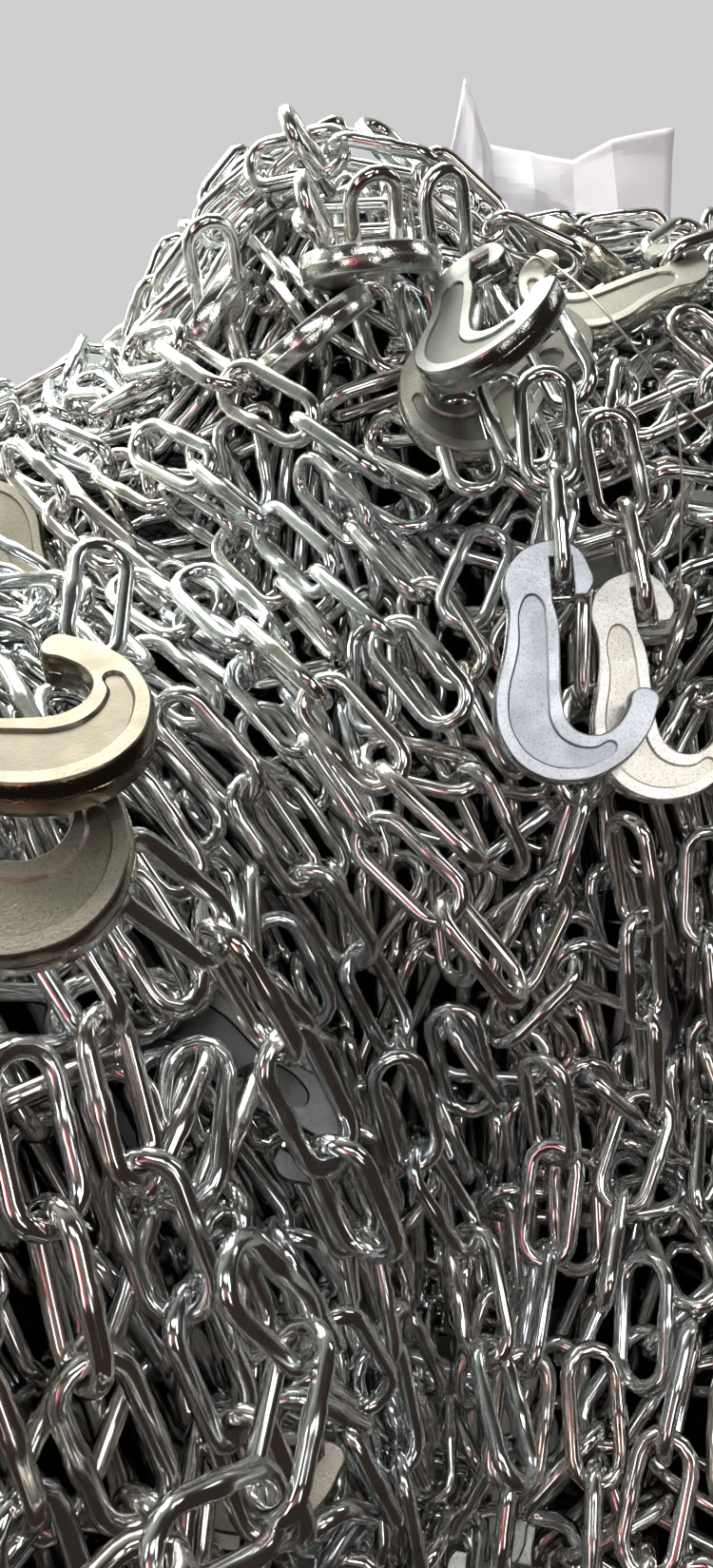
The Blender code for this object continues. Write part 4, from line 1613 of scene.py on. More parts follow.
@dataclass(frozen=True)
class Wire:
    """Thin tie wire over the links: the pixels that it passes."""

    name: str
    pixels: tuple[Pixel, ...]
    thickness: float = 0.0022
    lift: float = 0.03
    steps: int = 5
    finer_steps: int = 3
    sides: int = 8
    tip: float = 0.2

    def build(self, sight: Sight, mound: Mound) -> Piece:
        """The wire's piece, where the CAD wire came to rest.

        Args:
            sight: The photograph's point of view.
            mound: Surface that the heap's links lie round.

        Returns:
            The piece.
        """
        floor = np.array([sight.on_mound(pixel, mound)[:2] for pixel in self.pixels])
        path = mound.lifted(smooth_curve(floor, self.steps), self.lift)
        finer = smooth_curve(path, self.finer_steps)
        points, quads = tube(finer, 0.5 * self.thickness, self.sides, self.tip)
        shift = rest_shift(self.name, points, unit(sight.ray(self.pixels[len(self.pixels) // 2])))
        return dressed(mesh_object(self.name + "_strand", points + shift, quads, {}), TIE)


WIRES = (
    Wire("tie_wire_top", ((522, 296), (560, 306), (600, 326), (645, 368), (690, 428), (748, 492))),
    Wire("tie_wire_right", ((700, 452), (703, 520), (699, 590), (697, 640))),
)


@dataclass(frozen=True)
class Flow:
    """Which way strands run over the heap: like the nearest known ones, and down."""

    places: Array
    ways: Array
    mound: Mound
    nearness: float = 0.06
    downhill: float = 0.35
    sway: float = math.radians(9.0)
    top_sway: float = math.radians(52.0)
    top: Flat = (0.80, 0.95)
    long_wave: tuple[float, float, float] = (13.0, 5.0, 2.0)
    short_wave: Flat = (-4.0, 9.0)

    def heading(self, point: Array, normal: Array, turn: float) -> Array:
        """Unit direction of the flow at a point of the surface.

        Args:
            point: The point.
            normal: The surface's normal there.
            turn: Angle that the flow is turned by about the normal.

        Returns:
            Direction along the surface.
        """
        weights = 1.0 / (((self.places - point) ** 2).sum(axis=1) + self.nearness ** 2) ** 2
        down = normal * normal[2] - np.array([0.0, 0.0, 1.0])
        way = weights @ self.ways / weights.sum() + self.downhill * down
        way = unit(way - normal * (way @ normal))
        share = min(1.0, max(0.0, (point[2] - self.top[0]) / (self.top[1] - self.top[0])))
        sway = self.sway + (self.top_sway - self.sway) * share
        long_x, long_y, phase = self.long_wave
        short_x, short_y = self.short_wave
        long_sway = math.sin(long_x * point[0] + long_y * point[1] + phase)
        angle = turn + sway * long_sway * math.cos(short_y * point[1] + short_x * point[0])
        return way * math.cos(angle) + np.cross(normal, way) * math.sin(angle)


@dataclass(frozen=True)
class Tangle:
    """A part of the front where strands run every way: the pixel of its middle, and its radius."""

    pixel: Pixel
    radius: float


TANGLES = (
    Tangle((300, 240), 0.17),
    Tangle((420, 300), 0.15),
    Tangle((640, 400), 0.24),
    Tangle((680, 560), 0.12),
    Tangle((680, 1080), 0.20),
    Tangle((250, 1210), 0.10),
    Tangle((330, 1460), 0.14),
    Tangle((470, 1500), 0.14),
)


@dataclass(frozen=True)
class Disorder:
    """How tangled the strands are from place to place, from 0 to 1."""

    middles: Array
    radii: Array
    elsewhere: float = 0.08
    behind: float = 0.40
    behind_from: float = 0.20
    core: float = 1.6
    fall: float = 1.3

    @classmethod
    def of(cls, tangles: tuple[Tangle, ...], sight: Sight, mound: Mound) -> "Disorder":
        """The disorder that some tangles make on the mound."""
        middles = np.array([sight.on_mound(tangle.pixel, mound) for tangle in tangles])
        return cls(middles, np.array([tangle.radius for tangle in tangles]))

    def at(self, point: Array) -> float:
        """Disorder at a point.

        Args:
            point: A point.

        Returns:
            Its disorder, 1 in the middle of a tangle.
        """
        least = self.behind if point[1] > self.behind_from else self.elsewhere
        away = np.linalg.norm(self.middles - point, axis=1) / self.radii
        return float(np.clip(self.core - self.fall * away, least, 1.0).max())


@dataclass(frozen=True)
class Layer:
    """One layer of strands at a height over the mound's surface."""

    name: str
    lift: float
    spacing: float
    turn: float
    seeds: int
    longest: int = 9


LAYERS = (
    Layer("outer", 0.012, 0.033, 0.0, 7000),
    Layer("middle", -0.012, 0.035, math.radians(22.0), 5600),
    Layer("inner", -0.036, 0.039, math.radians(-26.0), 3600),
    Layer("deep", -0.062, 0.046, math.radians(40.0), 2200),
)


@dataclass
class Walk:
    """Grows strands over the mound until a layer is full.

    In a tangle the strands lie closer, run wilder and are shorter. Guards are the shares of a
    link's length at which later strands keep away from it.
    """

    flow: Flow
    mound: Mound
    disorder: Disorder
    rng: np.random.Generator
    wild: float = math.radians(75.0)
    rise: float = 0.011
    closer: float = 0.25
    least_height: float = 0.018
    drift: float = math.radians(9.0)
    keep: float = 0.55
    crowd: int = 60000
    guards: tuple[float, ...] = (0.2, 0.5, 0.8)
    seeds_drawn: int = 8
    steepest: float = 4.0
    shorter: float = 0.7
    settle_steps: int = 3
    end_spacing: float = 0.8

    def layer(self, layer: Layer, taken: Array) -> list[Array]:
        """Nodes of each strand of a layer.

        Args:
            layer: The layer to fill.
            taken: Points that its links keep away from.

        Returns:
            Nodes of each strand, one link's pitch apart.
        """
        used = np.empty((len(taken) + self.crowd, 3))
        used[: len(taken)] = taken
        count = len(taken)
        strands = []
        for seed in self.seeds(layer):
            if self.blocked(used[:count], seed, self.spacing(layer, seed)):
                continue
            ahead = self.grown(seed, 1.0, layer, used[:count])
            behind = self.grown(seed, -1.0, layer, used[:count])
            nodes = np.array(behind[::-1] + [seed] + ahead)
            if len(nodes) < 2:
                continue
            for share in self.guards:
                middles = nodes[:-1] + share * (nodes[1:] - nodes[:-1])
                used[count : count + len(middles)] = middles
                count += len(middles)
            strands.append(nodes)
        return strands

    def seeds(self, layer: Layer) -> Array:
        """Points spread evenly over the surface.

        Args:
            layer: The layer to fill.

        Returns:
            Points at the layer's height, one a row.
        """
        drawn = (layer.seeds * self.seeds_drawn, 2)
        floor = self.rng.uniform(self.mound.low, self.mound.high, drawn)
        floor = floor[self.mound.height(floor) > self.least_height]
        steep = 1.0 / self.mound.normal(floor)[:, 2]
        kept = self.rng.random(len(floor)) < np.minimum(1.0, steep / self.steepest)
        return self.mound.lifted(floor[kept][: layer.seeds], layer.lift)

    def spacing(self, layer: Layer, point: Array) -> float:
        """Spacing of a layer's strands at a point, closer in a tangle."""
        return layer.spacing * (1.0 - self.closer * self.disorder.at(point))

    @staticmethod
    def blocked(used: Array, point: Array, spacing: float) -> bool:
        """Whether a point is too near to those in use."""
        return bool(len(used)) and bool(((used - point) ** 2).sum(axis=1).min() < spacing ** 2)

    def grown(self, seed: Array, way: float, layer: Layer, used: Array) -> list[Array]:
        """Nodes that a strand adds from its seed in one direction.

        Args:
            seed: Where the strand starts.
            way: 1 with the flow and -1 against it.
            layer: The strand's layer.
            used: Points that its links keep away from.

        Returns:
            The nodes, without the seed.
        """
        nodes = []
        point = seed
        normal = self.mound.normal(point[:2])
        mess = self.disorder.at(point)
        lean = float(self.rng.normal(0.0, self.drift + mess * self.wild))
        heading = way * self.flow.heading(point, normal, layer.turn + lean)
        for _ in range(round(layer.longest * (1.0 - self.shorter * mess))):
            ahead = point + LINK.inside * heading
            lift = layer.lift + mess * float(self.rng.normal(0.0, self.rise))
            for _ in range(self.settle_steps):
                ahead = self.mound.lifted(ahead[:2], lift)
                ahead = point + LINK.inside * unit(ahead - point)
            spacing = self.spacing(layer, ahead)
            if ahead[2] < self.least_height or self.blocked(used, 0.5 * (point + ahead), spacing):
                break
            if self.blocked(used, ahead, self.end_spacing * spacing):
                break
            nodes.append(ahead)
            normal = self.mound.normal(ahead[:2])
            lean += float(self.rng.normal(0.0, 0.5 * self.drift))
            wish = way * self.flow.heading(ahead, normal, layer.turn + lean)
            mixed = self.keep * unit(ahead - point) + (1.0 - self.keep) * wish
            heading = unit(mixed - normal * (mixed @ normal))
            point = ahead
        return nodes


AROUND = [(x, y, z) for x in (-1, 0, 1) for y in (-1, 0, 1) for z in (-1, 0, 1)]
HALF_AROUND = np.array([step for step in AROUND if step >= (0, 0, 0)])


@dataclass(frozen=True)
class Packing:
    """Moves links apart a little at a time, while each stays in the next and near its layer.

    Spheres as thick as the wire stand for each link. Those that nothing touches weigh little, so
    that a link gives way to what pushes it.
    """

    mound: Mound
    low: Array
    high: Array
    rounds: int = 80
    quick_rounds: int = 14
    refresh: int = 5
    margin: float = 0.005
    slack: float = 0.0025
    pull: float = 0.03
    idle_weight: float = 0.06
    joint_weight: float = 2.5
    ease: float = 0.9
    deepest: float = 0.45

    def near_pairs(self, points: Array, owners: Array) -> tuple[Array, Array]:
        """Pairs of points of different owners, less than the wire and the margin apart.

        Args:
            points: Points to pair, which are sorted into cells of that size.
            owners: The link that each point belongs to, or -1.

        Returns:
            Number of each pair's first point, and of its second.
        """
        reach = LINK.wire + self.margin
        cells = np.floor(points / reach).astype(np.int64)
        cells -= cells.min(axis=0) - 1
        sizes = cells.max(axis=0) + 2
        strides = np.array([sizes[1] * sizes[2], sizes[2], 1])
        keys = cells @ strides
        order = np.argsort(keys, kind="stable")
        keys = keys[order]
        firsts, seconds = [], []
        for step in HALF_AROUND:
            wanted = keys + int(step @ strides)
            start = np.searchsorted(keys, wanted, "left")
            count = np.searchsorted(keys, wanted, "right") - start
            first = np.repeat(np.arange(len(keys)), count)
            offset = np.arange(len(first)) - np.repeat(np.cumsum(count) - count, count)
            second = np.repeat(start, count) + offset
            if not step.any():
                first, second = first[second > first], second[second > first]
            first, second = order[first], order[second]
            close = owners[first] != owners[second]
            first, second = first[close], second[close]
            close = ((points[first] - points[second]) ** 2).sum(axis=1) < reach ** 2
            firsts.append(first[close])
            seconds.append(second[close])
        return np.concatenate(firsts), np.concatenate(seconds)

    def settled(self, links: Links, joints: Array, lifts: Array, fixed: Array) -> Links:
        """Links moved until they no longer cut into each other.

        Args:
            links: Links that are free to move.
            joints: Pairs of numbers of links that hang in one another, first to second.
            lifts: Height over the mound's surface that each link belongs at.
            fixed: Middles of spheres that stay where they are.

        Returns:
            The links in their new places.
        """
        spheres = LINK.sphere_middles()
        ends = np.array([[0.5 * LINK.inside, 0.0, 0.0], [-0.5 * LINK.inside, 0.0, 0.0]])
        local = np.vstack([spheres, ends])
        count, parts = len(links), len(spheres)
        owners = self.owners(count, parts, len(fixed))
        first = second = np.empty(0, int)
        for turn in range(self.rounds):
            world = links.placed(local)
            points = np.concatenate([world[:, :parts].reshape(-1, 3), fixed])
            if turn % self.refresh == 0:
                first, second = self.near_pairs(points, owners)
            push, touched = self.pushes(points, first, second, owners)
            push = push[: count * parts].reshape(count, parts, 3)
            touched = touched[: count * parts].reshape(count, parts)
            push = self.kept_in(world[:, :parts], push)
            moves = np.concatenate([push, np.zeros((count, 2, 3))], axis=1)
            weights = np.full((count, parts + 2), self.idle_weight)
            weights[:, :parts][touched] = 1.0
            self.add_joints(world, joints, moves, weights, parts)
            floor = links.middles[:, :2]
            normals = self.mound.normal(floor)
            gaps = (links.middles[:, 2] - self.mound.height(floor)) * normals[:, 2]
            moves += (normals * (self.pull * (lifts - gaps))[:, None])[:, None, :]
            links = self.matched(world + moves, weights, local)
        return links

    @staticmethod
    def owners(count: int, parts: int, fixed: int) -> Array:
        """The link that each sphere belongs to, where fixed spheres come last and belong to -1."""
        return np.concatenate([np.repeat(np.arange(count), parts), np.full(fixed, -1)])

    def free(self, links: Links, fixed: Array) -> Array:
        """Which links don't cut deep into the fixed spheres.

        Args:
            links: Settled links.
            fixed: Middles of the fixed spheres.

        Returns:
            True for each link that stays.
        """
        spheres = links.spheres()
        owners = self.owners(*spheres.shape[:2], len(fixed))
        points = np.concatenate([spheres.reshape(-1, 3), fixed])
        first, second = self.near_pairs(points, owners)
        away = np.linalg.norm(points[first] - points[second], axis=1)
        deep = (away < self.deepest * LINK.wire) & (np.minimum(owners[first], owners[second]) < 0)
        cut = np.maximum(owners[first[deep]], owners[second[deep]])
        return np.bincount(cut, minlength=len(links)) == 0

    def pushes(
        self, points: Array, first: Array, second: Array, owners: Array
    ) -> tuple[Array, Array]:
        """Push on each sphere from those that it cuts into, and whether there is any.

        Args:
            points: Middles of all spheres.
            first: Number of the first sphere of each near pair.
            second: Number of the second.
            owners: The link that each sphere belongs to, or -1.

        Returns:
            The push on each sphere, and True for each that touches another.
        """
        between = points[first] - points[second]
        away = np.linalg.norm(between, axis=1)
        cut = np.clip(LINK.wire - away, 0.0, None)
        live = cut > 0.0
        first, second, cut = first[live], second[live], cut[live]
        way = between[live] / np.maximum(away[live], TINY)[:, None]
        both_free = (owners[first] >= 0) & (owners[second] >= 0)
        share = np.where(both_free, 0.5, 1.0) * self.ease
        move = way * (cut * share)[:, None]
        push = np.zeros_like(points)
        for axis in range(3):
            push[:, axis] += np.bincount(first, move[:, axis], len(points))
            push[:, axis] -= np.bincount(second, move[:, axis], len(points))
        touched = np.bincount(np.concatenate([first, second]), minlength=len(points)) > 0
        return push, touched

    def kept_in(self, spheres: Array, push: Array) -> Array:
        """Pushes that also bring spheres back inside the CAD's box and onto the floor.

        Args:
            spheres: Middles of each link's spheres.
            push: Push on each.

        Returns:
            The pushes.
        """
        radius = 0.5 * LINK.wire
        wanted = np.clip(spheres, self.low + radius, self.high - radius)
        return push + (wanted - spheres)

    def add_joints(
        self, world: Array, joints: Array, moves: Array, weights: Array, parts: int
    ) -> None:
        """Draw the ends of joined links together where they are further apart than the slack.

        Args:
            world: Places of each link's spheres and of its two ends.
            joints: Pairs of numbers of links that hang in one another, first to second.
            moves: Where each of these places is to move, which the pull is added to.
            weights: How much each place counts, which the ends' is set in.
            parts: Number of spheres of a link, after which its two ends come.
        """
        head, tail = joints[:, 0], joints[:, 1]
        apart = world[tail, parts + 1] - world[head, parts]
        length = np.linalg.norm(apart, axis=1)
        excess = np.clip(length - self.slack, 0.0, None) / np.maximum(length, TINY)
        half = 0.5 * apart * excess[:, None]
        moves[head, parts] += half
        moves[tail, parts + 1] -= half
        weights[head, parts] = self.joint_weight
        weights[tail, parts + 1] = self.joint_weight

    @staticmethod
    def matched(goals: Array, weights: Array, local: Array) -> Links:
        """Rigid places that fit weighted goals best.

        Args:
            goals: Where each link's points are wanted.
            weights: How much each goal counts.
            local: The same points in a link's own axes.

        Returns:
            The links.
        """
        total = weights.sum(axis=1)[:, None]
        goal_middle = (goals * weights[..., None]).sum(axis=1) / total
        local_middle = weights @ local / total
        pulls = weights[..., None] * (goals - goal_middle[:, None])
        spread = np.einsum("nki,nkj->nij", pulls, local[None] - local_middle[:, None])
        left, _, right = np.linalg.svd(spread)
        flip = np.linalg.det(left @ right)
        left[:, :, 2] *= flip[:, None]
        axes = left @ right
        return Links(goal_middle - np.einsum("nij,nj->ni", axes, local_middle), axes)


class Side(Enum):
    """Which side of the heap a link is seen from."""

    FRONT = "front"
    LEFT = "left"
    BACK = "back"
    RIGHT = "right"


@dataclass
class ChainHeap:
    """All chain of the heap: the known strands, and the filling strands round them."""

    mound: Mound
    sight: Sight
    hooks: list[Hook]
    rng: np.random.Generator = field(default_factory=lambda: np.random.default_rng(23))
    most_links: int = 330
    hide_limit: int = 3
    stray: float = 0.045
    layer_reach: float = 0.014
    slanted_share: float = 0.6
    slanted_roll: Flat = (45.0, 12.0)
    upright_spread: float = 14.0
    link_spread: float = 10.0
    messy_spread: float = 14.0

    def __post_init__(self) -> None:
        """Place the known links."""
        self.mesher = LinkMesher(self.mound, ZINC)
        self.disorder = Disorder.of(TANGLES, self.sight, self.mound)
        self.loose = Links.joined([link.links(self.sight, self.mound) for link in LOOSE_LINKS])
        self.known = {strand.name: strand.links(self.sight, self.mound) for strand in STRANDS}
        for hook in self.hooks:
            if hook.place.links:
                self.known[hook.place.name + "_chain"] = hook.links()

    def build_known(self) -> list[Piece]:
        """One piece for each strand of the CAD frame.

        Returns:
            The pieces, the loose links last.
        """
        pieces = []
        for name, links in self.known.items():
            piece = self.mesher.build(name + "_links", links, Detail.CLOSE)
            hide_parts(name)
            pieces.append(piece)
        pieces.append(self.mesher.build("loose_links", self.loose, Detail.CLOSE))
        return pieces

    def fixed_spheres(self, label: Array) -> tuple[Array, Array]:
        """Spheres that settling links keep clear of: those of known links, and all others.

        Args:
            label: Spheres of the label.

        Returns:
            The two groups of middles.
        """
        links = Links.joined([*self.known.values(), self.loose])
        others = [label] + [hook.spheres() for hook in self.hooks]
        return links.spheres().reshape(-1, 3), np.concatenate(others)

    def filling(self, label: Array) -> list[tuple[Layer, Links]]:
        """Filling links of each layer, settled among the known pieces.

        Args:
            label: Spheres that keep the links out of the label.

        Returns:
            Each layer with its links.
        """
        known = Links.joined(list(self.known.values()))
        flow = Flow(known.middles, known.axes[:, :, 0], self.mound)
        walk = Walk(flow, self.mound, self.disorder, self.rng)
        wires, others = self.fixed_spheres(label)
        groups, joints, lifts, owners = [], [], [], []
        start = 0
        for order, layer in enumerate(LAYERS):
            near = np.abs(self.mound.gap(wires) - layer.lift) < self.layer_reach
            for nodes in walk.layer(layer, wires[near]):
                links = self.rolled(nodes)
                groups.append(links)
                numbers = start + np.arange(len(links))
                joints.append(np.column_stack([numbers[:-1], numbers[1:]]))
                start += len(links)
                lifts += list(self.mound.gap(links.middles))
                owners += [order] * len(links)
        links = Links.joined(groups)
        LOG.info("filling links: %d in %d strands", len(links), len(groups))
        packing = Packing(self.mound, *(np.array(corner) for corner in CAD_BOUNDS))
        fixed = np.concatenate([wires, others])
        links = packing.settled(links, np.vstack(joints), np.array(lifts), fixed)
        kept = self.worth_keeping(links, np.array(lifts)) & packing.free(links, fixed)
        links = self.on_floor(links)
        owners = np.array(owners)
        LOG.info("kept %d of %d", kept.sum(), len(kept))
        chosen = [links.chosen(kept & (owners == order)) for order in range(len(LAYERS))]
        return list(zip(LAYERS, chosen))

    @staticmethod
    def on_floor(links: Links) -> Links:
        """The same links, with those that reach under the floor lifted onto it.

        Args:
            links: Settled links.

        Returns:
            The links.
        """
        lowest = links.spheres()[:, :, 2].min(axis=1) - 0.5 * LINK.weld_swell * LINK.wire
        lift = np.column_stack([np.zeros((len(links), 2)), np.maximum(0.0, -lowest)])
        return links.moved(lift)

    def rolled(self, nodes: Array) -> Links:
        """A strand's links with alternate rolls.

        Args:
            nodes: Points where one link hangs in the next.

        Returns:
            The links.
        """
        middles = 0.5 * (nodes[1:] + nodes[:-1])
        count = len(middles)
        mess = self.disorder.at(middles[count // 2])
        if self.rng.random() < self.slanted_share * (1.0 - mess):
            roll, spread = self.slanted_roll
            start = roll + self.rng.normal(0.0, spread)
        else:
            quarter = QUARTER_TURN * self.rng.integers(0, 2)
            start = quarter + self.rng.normal(0.0, self.upright_spread)
        swings = self.rng.normal(0.0, self.link_spread + self.messy_spread * mess, count)
        rolls = np.radians(start + QUARTER_TURN * np.arange(count) + swings)
        return Links.between(nodes, rolls, self.mound.normal(middles[:, :2]))

    def worth_keeping(self, links: Links, lifts: Array) -> Array:
        """Links that neither hide a hook nor were pushed far out of their layer.

        Args:
            links: Settled links.
            lifts: Height over the mound's surface that each belongs at.

        Returns:
            True for each link that is kept.
        """
        flat = links.spheres().reshape(-1, 3)
        hidden = np.zeros(len(links), int)
        for hook in self.hooks:
            if hook.place.clear:
                covering = hook.covers(flat).reshape(len(links), -1).sum(axis=1)
                hidden = np.maximum(hidden, covering)
        gaps = self.mound.gap(links.middles)
        return (hidden < self.hide_limit) & (np.abs(gaps - lifts) < self.stray)

    def side_of(self, links: Links) -> list[Side]:
        """The side that each link is seen from.

        Args:
            links: Settled links.

        Returns:
            The side of each.
        """
        normals = self.mound.normal(links.middles[:, :2])
        towards = ((np.array(self.sight.eye) - links.middles) * normals).sum(axis=1) > 0.0
        sides = []
        for seen, normal in zip(towards, normals):
            if seen:
                sides.append(Side.FRONT)
            elif abs(normal[0]) > abs(normal[1]):
                sides.append(Side.RIGHT if normal[0] > 0 else Side.LEFT)
            else:
                sides.append(Side.BACK)
        return sides

    def build_filling(self, label: Array) -> list[Piece]:
        """Pieces of the filling links, by side and layer.

        Args:
            label: Spheres that keep the links out of the label.

        Returns:
            The pieces.
        """
        pieces = []
        for layer, links in self.filling(label):
            sides = self.side_of(links)
            shown = (Side.FRONT,) if layer is LAYERS[-1] else Side
            for side in shown:
                chosen = links.chosen(np.array([here is side for here in sides]))
                detail = self.detail(side, layer)
                groups = max(1, math.ceil(len(chosen) / self.most_links))
                order = np.argsort(chosen.middles[:, 2], kind="stable")
                for number, part in enumerate(np.array_split(order, groups)):
                    name = f"chain_{side.value}_{layer.name}_{number + 1}"
                    pieces.append(self.mesher.build(name, chosen.chosen(part), detail))
        return pieces

    @staticmethod
    def detail(side: Side, layer: Layer) -> Detail:
        """How finely the links of a side and layer are meshed.

        Args:
            side: Side that the links are seen from.
            layer: Their layer.

        Returns:
            How finely they are meshed.
        """
        if layer in LAYERS[2:]:
            return Detail.DEEP
        if side is Side.FRONT:
            return Detail.NEAR if layer is LAYERS[0] else Detail.MIDDLE
        return Detail.MIDDLE if layer is LAYERS[0] else Detail.DEEP


@dataclass(frozen=True)
class DarkInside:
    """Closed dark body behind the deepest links, painted near-black as the shade deep in the heap."""

    mound: Mound
    depth: float = 0.100
    steepest: float = 0.25
    least_height: float = 0.004
    foot: float = 0.002
    cells: int = 80

    def build(self) -> Piece:
        """The body's piece, which stands for the CAD core.

        Returns:
            The piece.
        """
        spans = zip(self.mound.low, self.mound.high)
        ways = [np.linspace(low, high, self.cells) for low, high in spans]
        floor = np.stack(np.meshgrid(*ways), axis=-1).reshape(-1, 2)
        slope = np.maximum(self.mound.normal(floor)[:, 2], self.steepest)
        top = self.mound.height(floor) - self.depth / slope
        points = np.column_stack([floor, top])
        inside = (top > self.least_height).reshape(self.cells, self.cells)
        whole = inside[:-1, :-1] & inside[1:, :-1] & inside[:-1, 1:] & inside[1:, 1:]
        grid_quads = cell_quads(cell_corners(self.cells, self.cells)[whole], self.cells)
        used, numbers = np.unique(grid_quads, return_inverse=True)
        top_quads = numbers.reshape(-1, 4)
        upper = points[used]
        lower = with_height(upper[:, :2], self.foot)
        edges = np.concatenate([top_quads[:, [k, (k + 1) % 4]] for k in range(4)])
        twins = {(int(a), int(b)) for a, b in edges}
        rim = np.array([(a, b) for a, b in twins if (b, a) not in twins])
        rim = rim[np.lexsort(rim.T)]
        count = len(upper)
        walls = np.column_stack([rim[:, 1], rim[:, 0], rim[:, 0] + count, rim[:, 1] + count])
        faces = np.vstack([top_quads, top_quads[:, ::-1] + count, walls])
        made = mesh_object("heap_inside", np.vstack([upper, lower]), faces, {})
        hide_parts("heap_core")
        # painted shade: the body is dressed near-black to stand for the shaded depths of the heap
        return dressed(made, DEEP)


@dataclass(frozen=True)
class Softbox:
    """A soft rectangular light: where it stands, its width and height, and its brightness."""

    name: str
    place: Place
    size: Flat
    radiance: float
    colour: Tint = (1.0, 1.0, 1.0)


SOFTBOXES = (
    Softbox("overhead", (-0.6, 1.3, 3.2), (3.0, 1.8), 9.0, (1.0, 1.0, 0.95)),
    Softbox("wall", (-2.4, 2.6, 1.7), (3.6, 1.8), 1.6, (0.95, 1.0, 0.90)),
    Softbox("left", (-3.0, 0.3, 2.2), (0.8, 1.4), 6.0),
    Softbox("right", (3.0, 0.3, 2.2), (0.45, 1.4), 4.5, (0.94, 0.97, 1.0)),
    Softbox("front_left", (-2.0, -2.4, 2.2), (0.30, 1.2), 9.0),
    Softbox("front_right", (1.9, -2.5, 2.2), (0.36, 1.2), 9.0, (0.97, 0.98, 1.0)),
    Softbox("front", (0.4, -2.9, 3.2), (1.6, 0.5), 8.0, (0.97, 0.98, 1.0)),
    Softbox("front_low", (0.0, -3.2, 1.5), (2.4, 1.0), 0.16, (1.0, 0.74, 0.60)),
    Softbox("low_left", (-1.1, -2.8, 1.0), (0.35, 0.8), 4.2, (1.0, 0.90, 0.84)),
    Softbox("low_right", (1.0, -3.0, 1.1), (0.35, 0.8), 4.2, (1.0, 0.94, 0.90)),
    Softbox("back_left", (-2.4, 2.6, 1.6), (0.5, 1.4), 5.0),
    Softbox("back_right", (2.4, 2.6, 1.6), (0.5, 1.4), 5.0),
    Softbox("blush", (-0.6, -2.3, 1.0), (0.30, 0.40), 2.6, (1.0, 0.04, 0.14)),
)


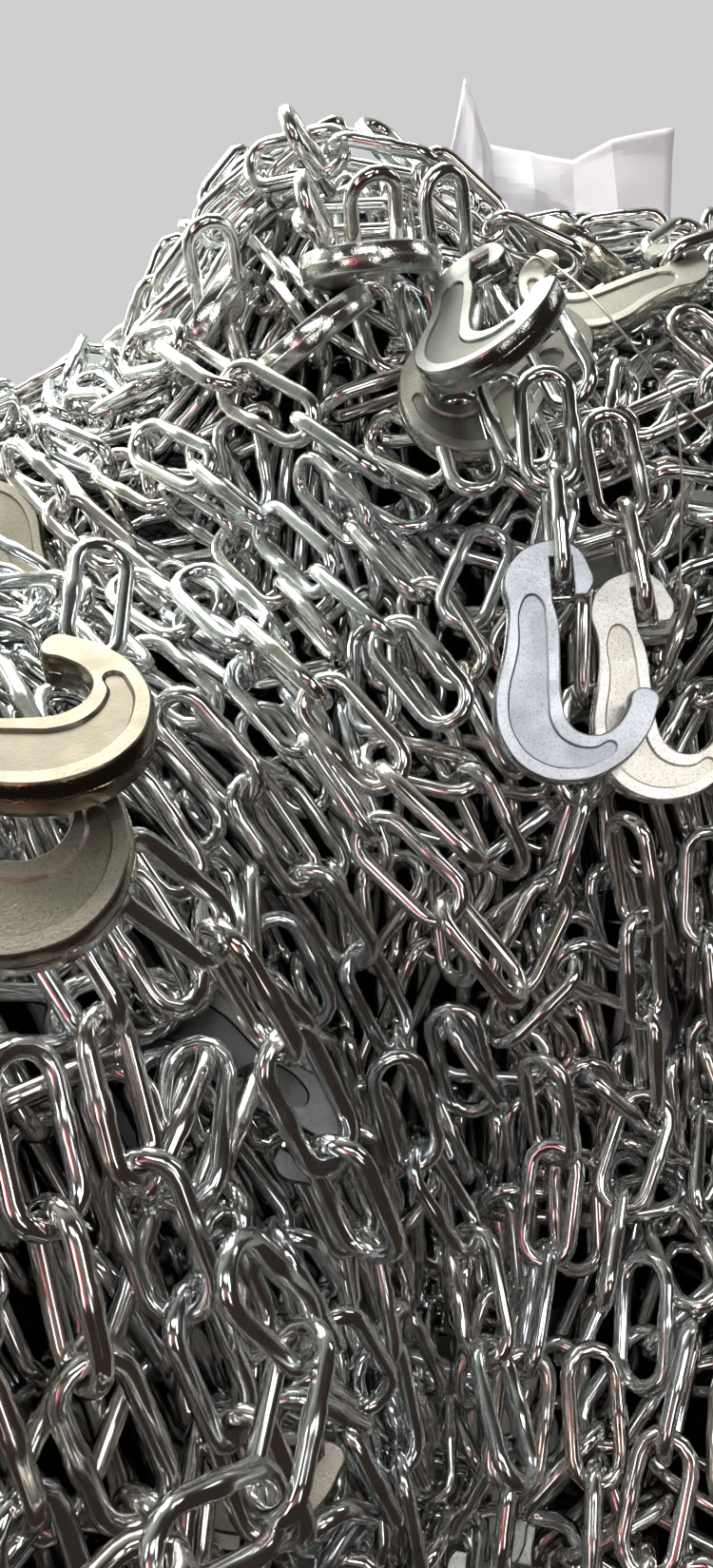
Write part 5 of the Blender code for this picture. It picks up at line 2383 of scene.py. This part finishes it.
@dataclass(frozen=True)
class Studio:
    """Floor, light and camera."""

    sight: Sight
    aim: Place = (0.0, 0.0, 0.6)
    brightest: Place = (-0.50, 0.70, 0.30)
    dim: Colour = (0.034, 0.025, 0.020, 1.0)
    bright: Colour = (0.80, 0.85, 0.75, 1.0)
    backdrop: Colour = grey(0.62)
    floor_radius: float = 6.0
    floor_sides: int = 96

    def floor(self) -> Piece:
        """Plain pale floor, which the metal doesn't mirror.

        Returns:
            The floor, which is part of the stage.
        """
        angles = 2 * np.pi * np.arange(self.floor_sides) / self.floor_sides
        rim = self.floor_radius * np.column_stack([np.cos(angles), np.sin(angles)])
        made = mesh_object("floor", with_height(rim, 0.0), [np.arange(self.floor_sides)], {})
        made.data.materials.append(FLOOR.material())
        made.visible_glossy = False
        return made

    def light(self, softbox: Softbox) -> None:
        """Soft rectangular light aimed at the heap.

        Args:
            softbox: The light to set up.
        """
        lamp = bpy.data.lights.new(softbox.name, "AREA")
        lamp.shape = "RECTANGLE"
        lamp.size, lamp.size_y = softbox.size
        lamp.energy = math.pi * softbox.size[0] * softbox.size[1] * softbox.radiance
        lamp.color = softbox.colour
        made = bpy.data.objects.new(softbox.name, lamp)
        away = Vector(softbox.place) - Vector(self.aim)
        turn = away.to_track_quat("Z", "Y").to_matrix().to_4x4()
        made.matrix_world = Matrix.Translation(softbox.place) @ turn
        made.visible_camera = False
        bpy.context.scene.collection.objects.link(made)

    def sky(self) -> None:
        """Dim surroundings, lighter behind the heap, before a pale backdrop."""
        world = bpy.data.worlds.new("surroundings")
        world.use_nodes = True
        nodes = Nodes(world.node_tree)
        place = nodes.node("ShaderNodeTexCoord", {}).outputs["Generated"]
        ways = {0: place, 1: self.brightest}
        along = nodes.node("ShaderNodeVectorMath", ways, operation="DOT_PRODUCT")
        ramp = nodes.node("ShaderNodeValToRGB", {"Fac": along.outputs["Value"]})
        for element, colour in zip(ramp.color_ramp.elements, (self.dim, self.bright)):
            element.color = colour
        light = nodes.tree.nodes["Background"]
        nodes.feed(light.inputs["Color"], ramp.outputs["Color"])
        pale = nodes.node("ShaderNodeBackground", {"Color": self.backdrop})
        seen = nodes.node("ShaderNodeLightPath", {}).outputs["Is Camera Ray"]
        shaders = {0: seen, 1: light.outputs[0], 2: pale.outputs[0]}
        shown = nodes.node("ShaderNodeMixShader", shaders)
        nodes.feed(nodes.tree.nodes["World Output"].inputs["Surface"], shown.outputs[0])
        bpy.context.scene.world = world

    def build(self) -> None:
        """Put the studio round the heap."""
        self.floor()
        self.sky()
        for softbox in SOFTBOXES:
            self.light(softbox)
        bpy.context.scene.view_settings.view_transform = "Standard"
        bpy.context.scene.camera = self.sight.camera()


def dress_pins() -> None:
    """Give the CAD pins, which stay as they are, the wire's finish."""
    for name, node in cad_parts.items():
        if name.endswith("_pin"):
            node.data.materials.clear()
            node.data.materials.append(ZINC.material())


def main() -> None:
    """Build the heap from its inside outwards."""
    logging.basicConfig(level=logging.INFO, format="%(message)s")
    mound = Mound()
    sight = Sight()
    hooks = [Hook(place, sight, mound) for place in HOOKS]
    pieces = [DarkInside(mound).build()]
    for hook in hooks:
        piece = hook.build()
        if hook.place.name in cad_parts:
            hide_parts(hook.place.name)
        pieces.append(piece)
    label = Label()
    sheet = label.build(sight)
    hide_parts("paper_label")
    pieces.append(sheet)
    for wire in WIRES:
        piece = wire.build(sight, mound)
        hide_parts(wire.name)
        pieces.append(piece)
    heap = ChainHeap(mound, sight, hooks)
    pieces += heap.build_known()
    pieces += heap.build_filling(label.spheres(sight))
    dress_pins()
    Studio(sight).build()
    for piece in pieces:
        triangles = sum(len(face.vertices) - 2 for face in piece.data.polygons)
        LOG.info("%s: %d triangles", piece.name, triangles)


if __name__ == "__main__":
    main()
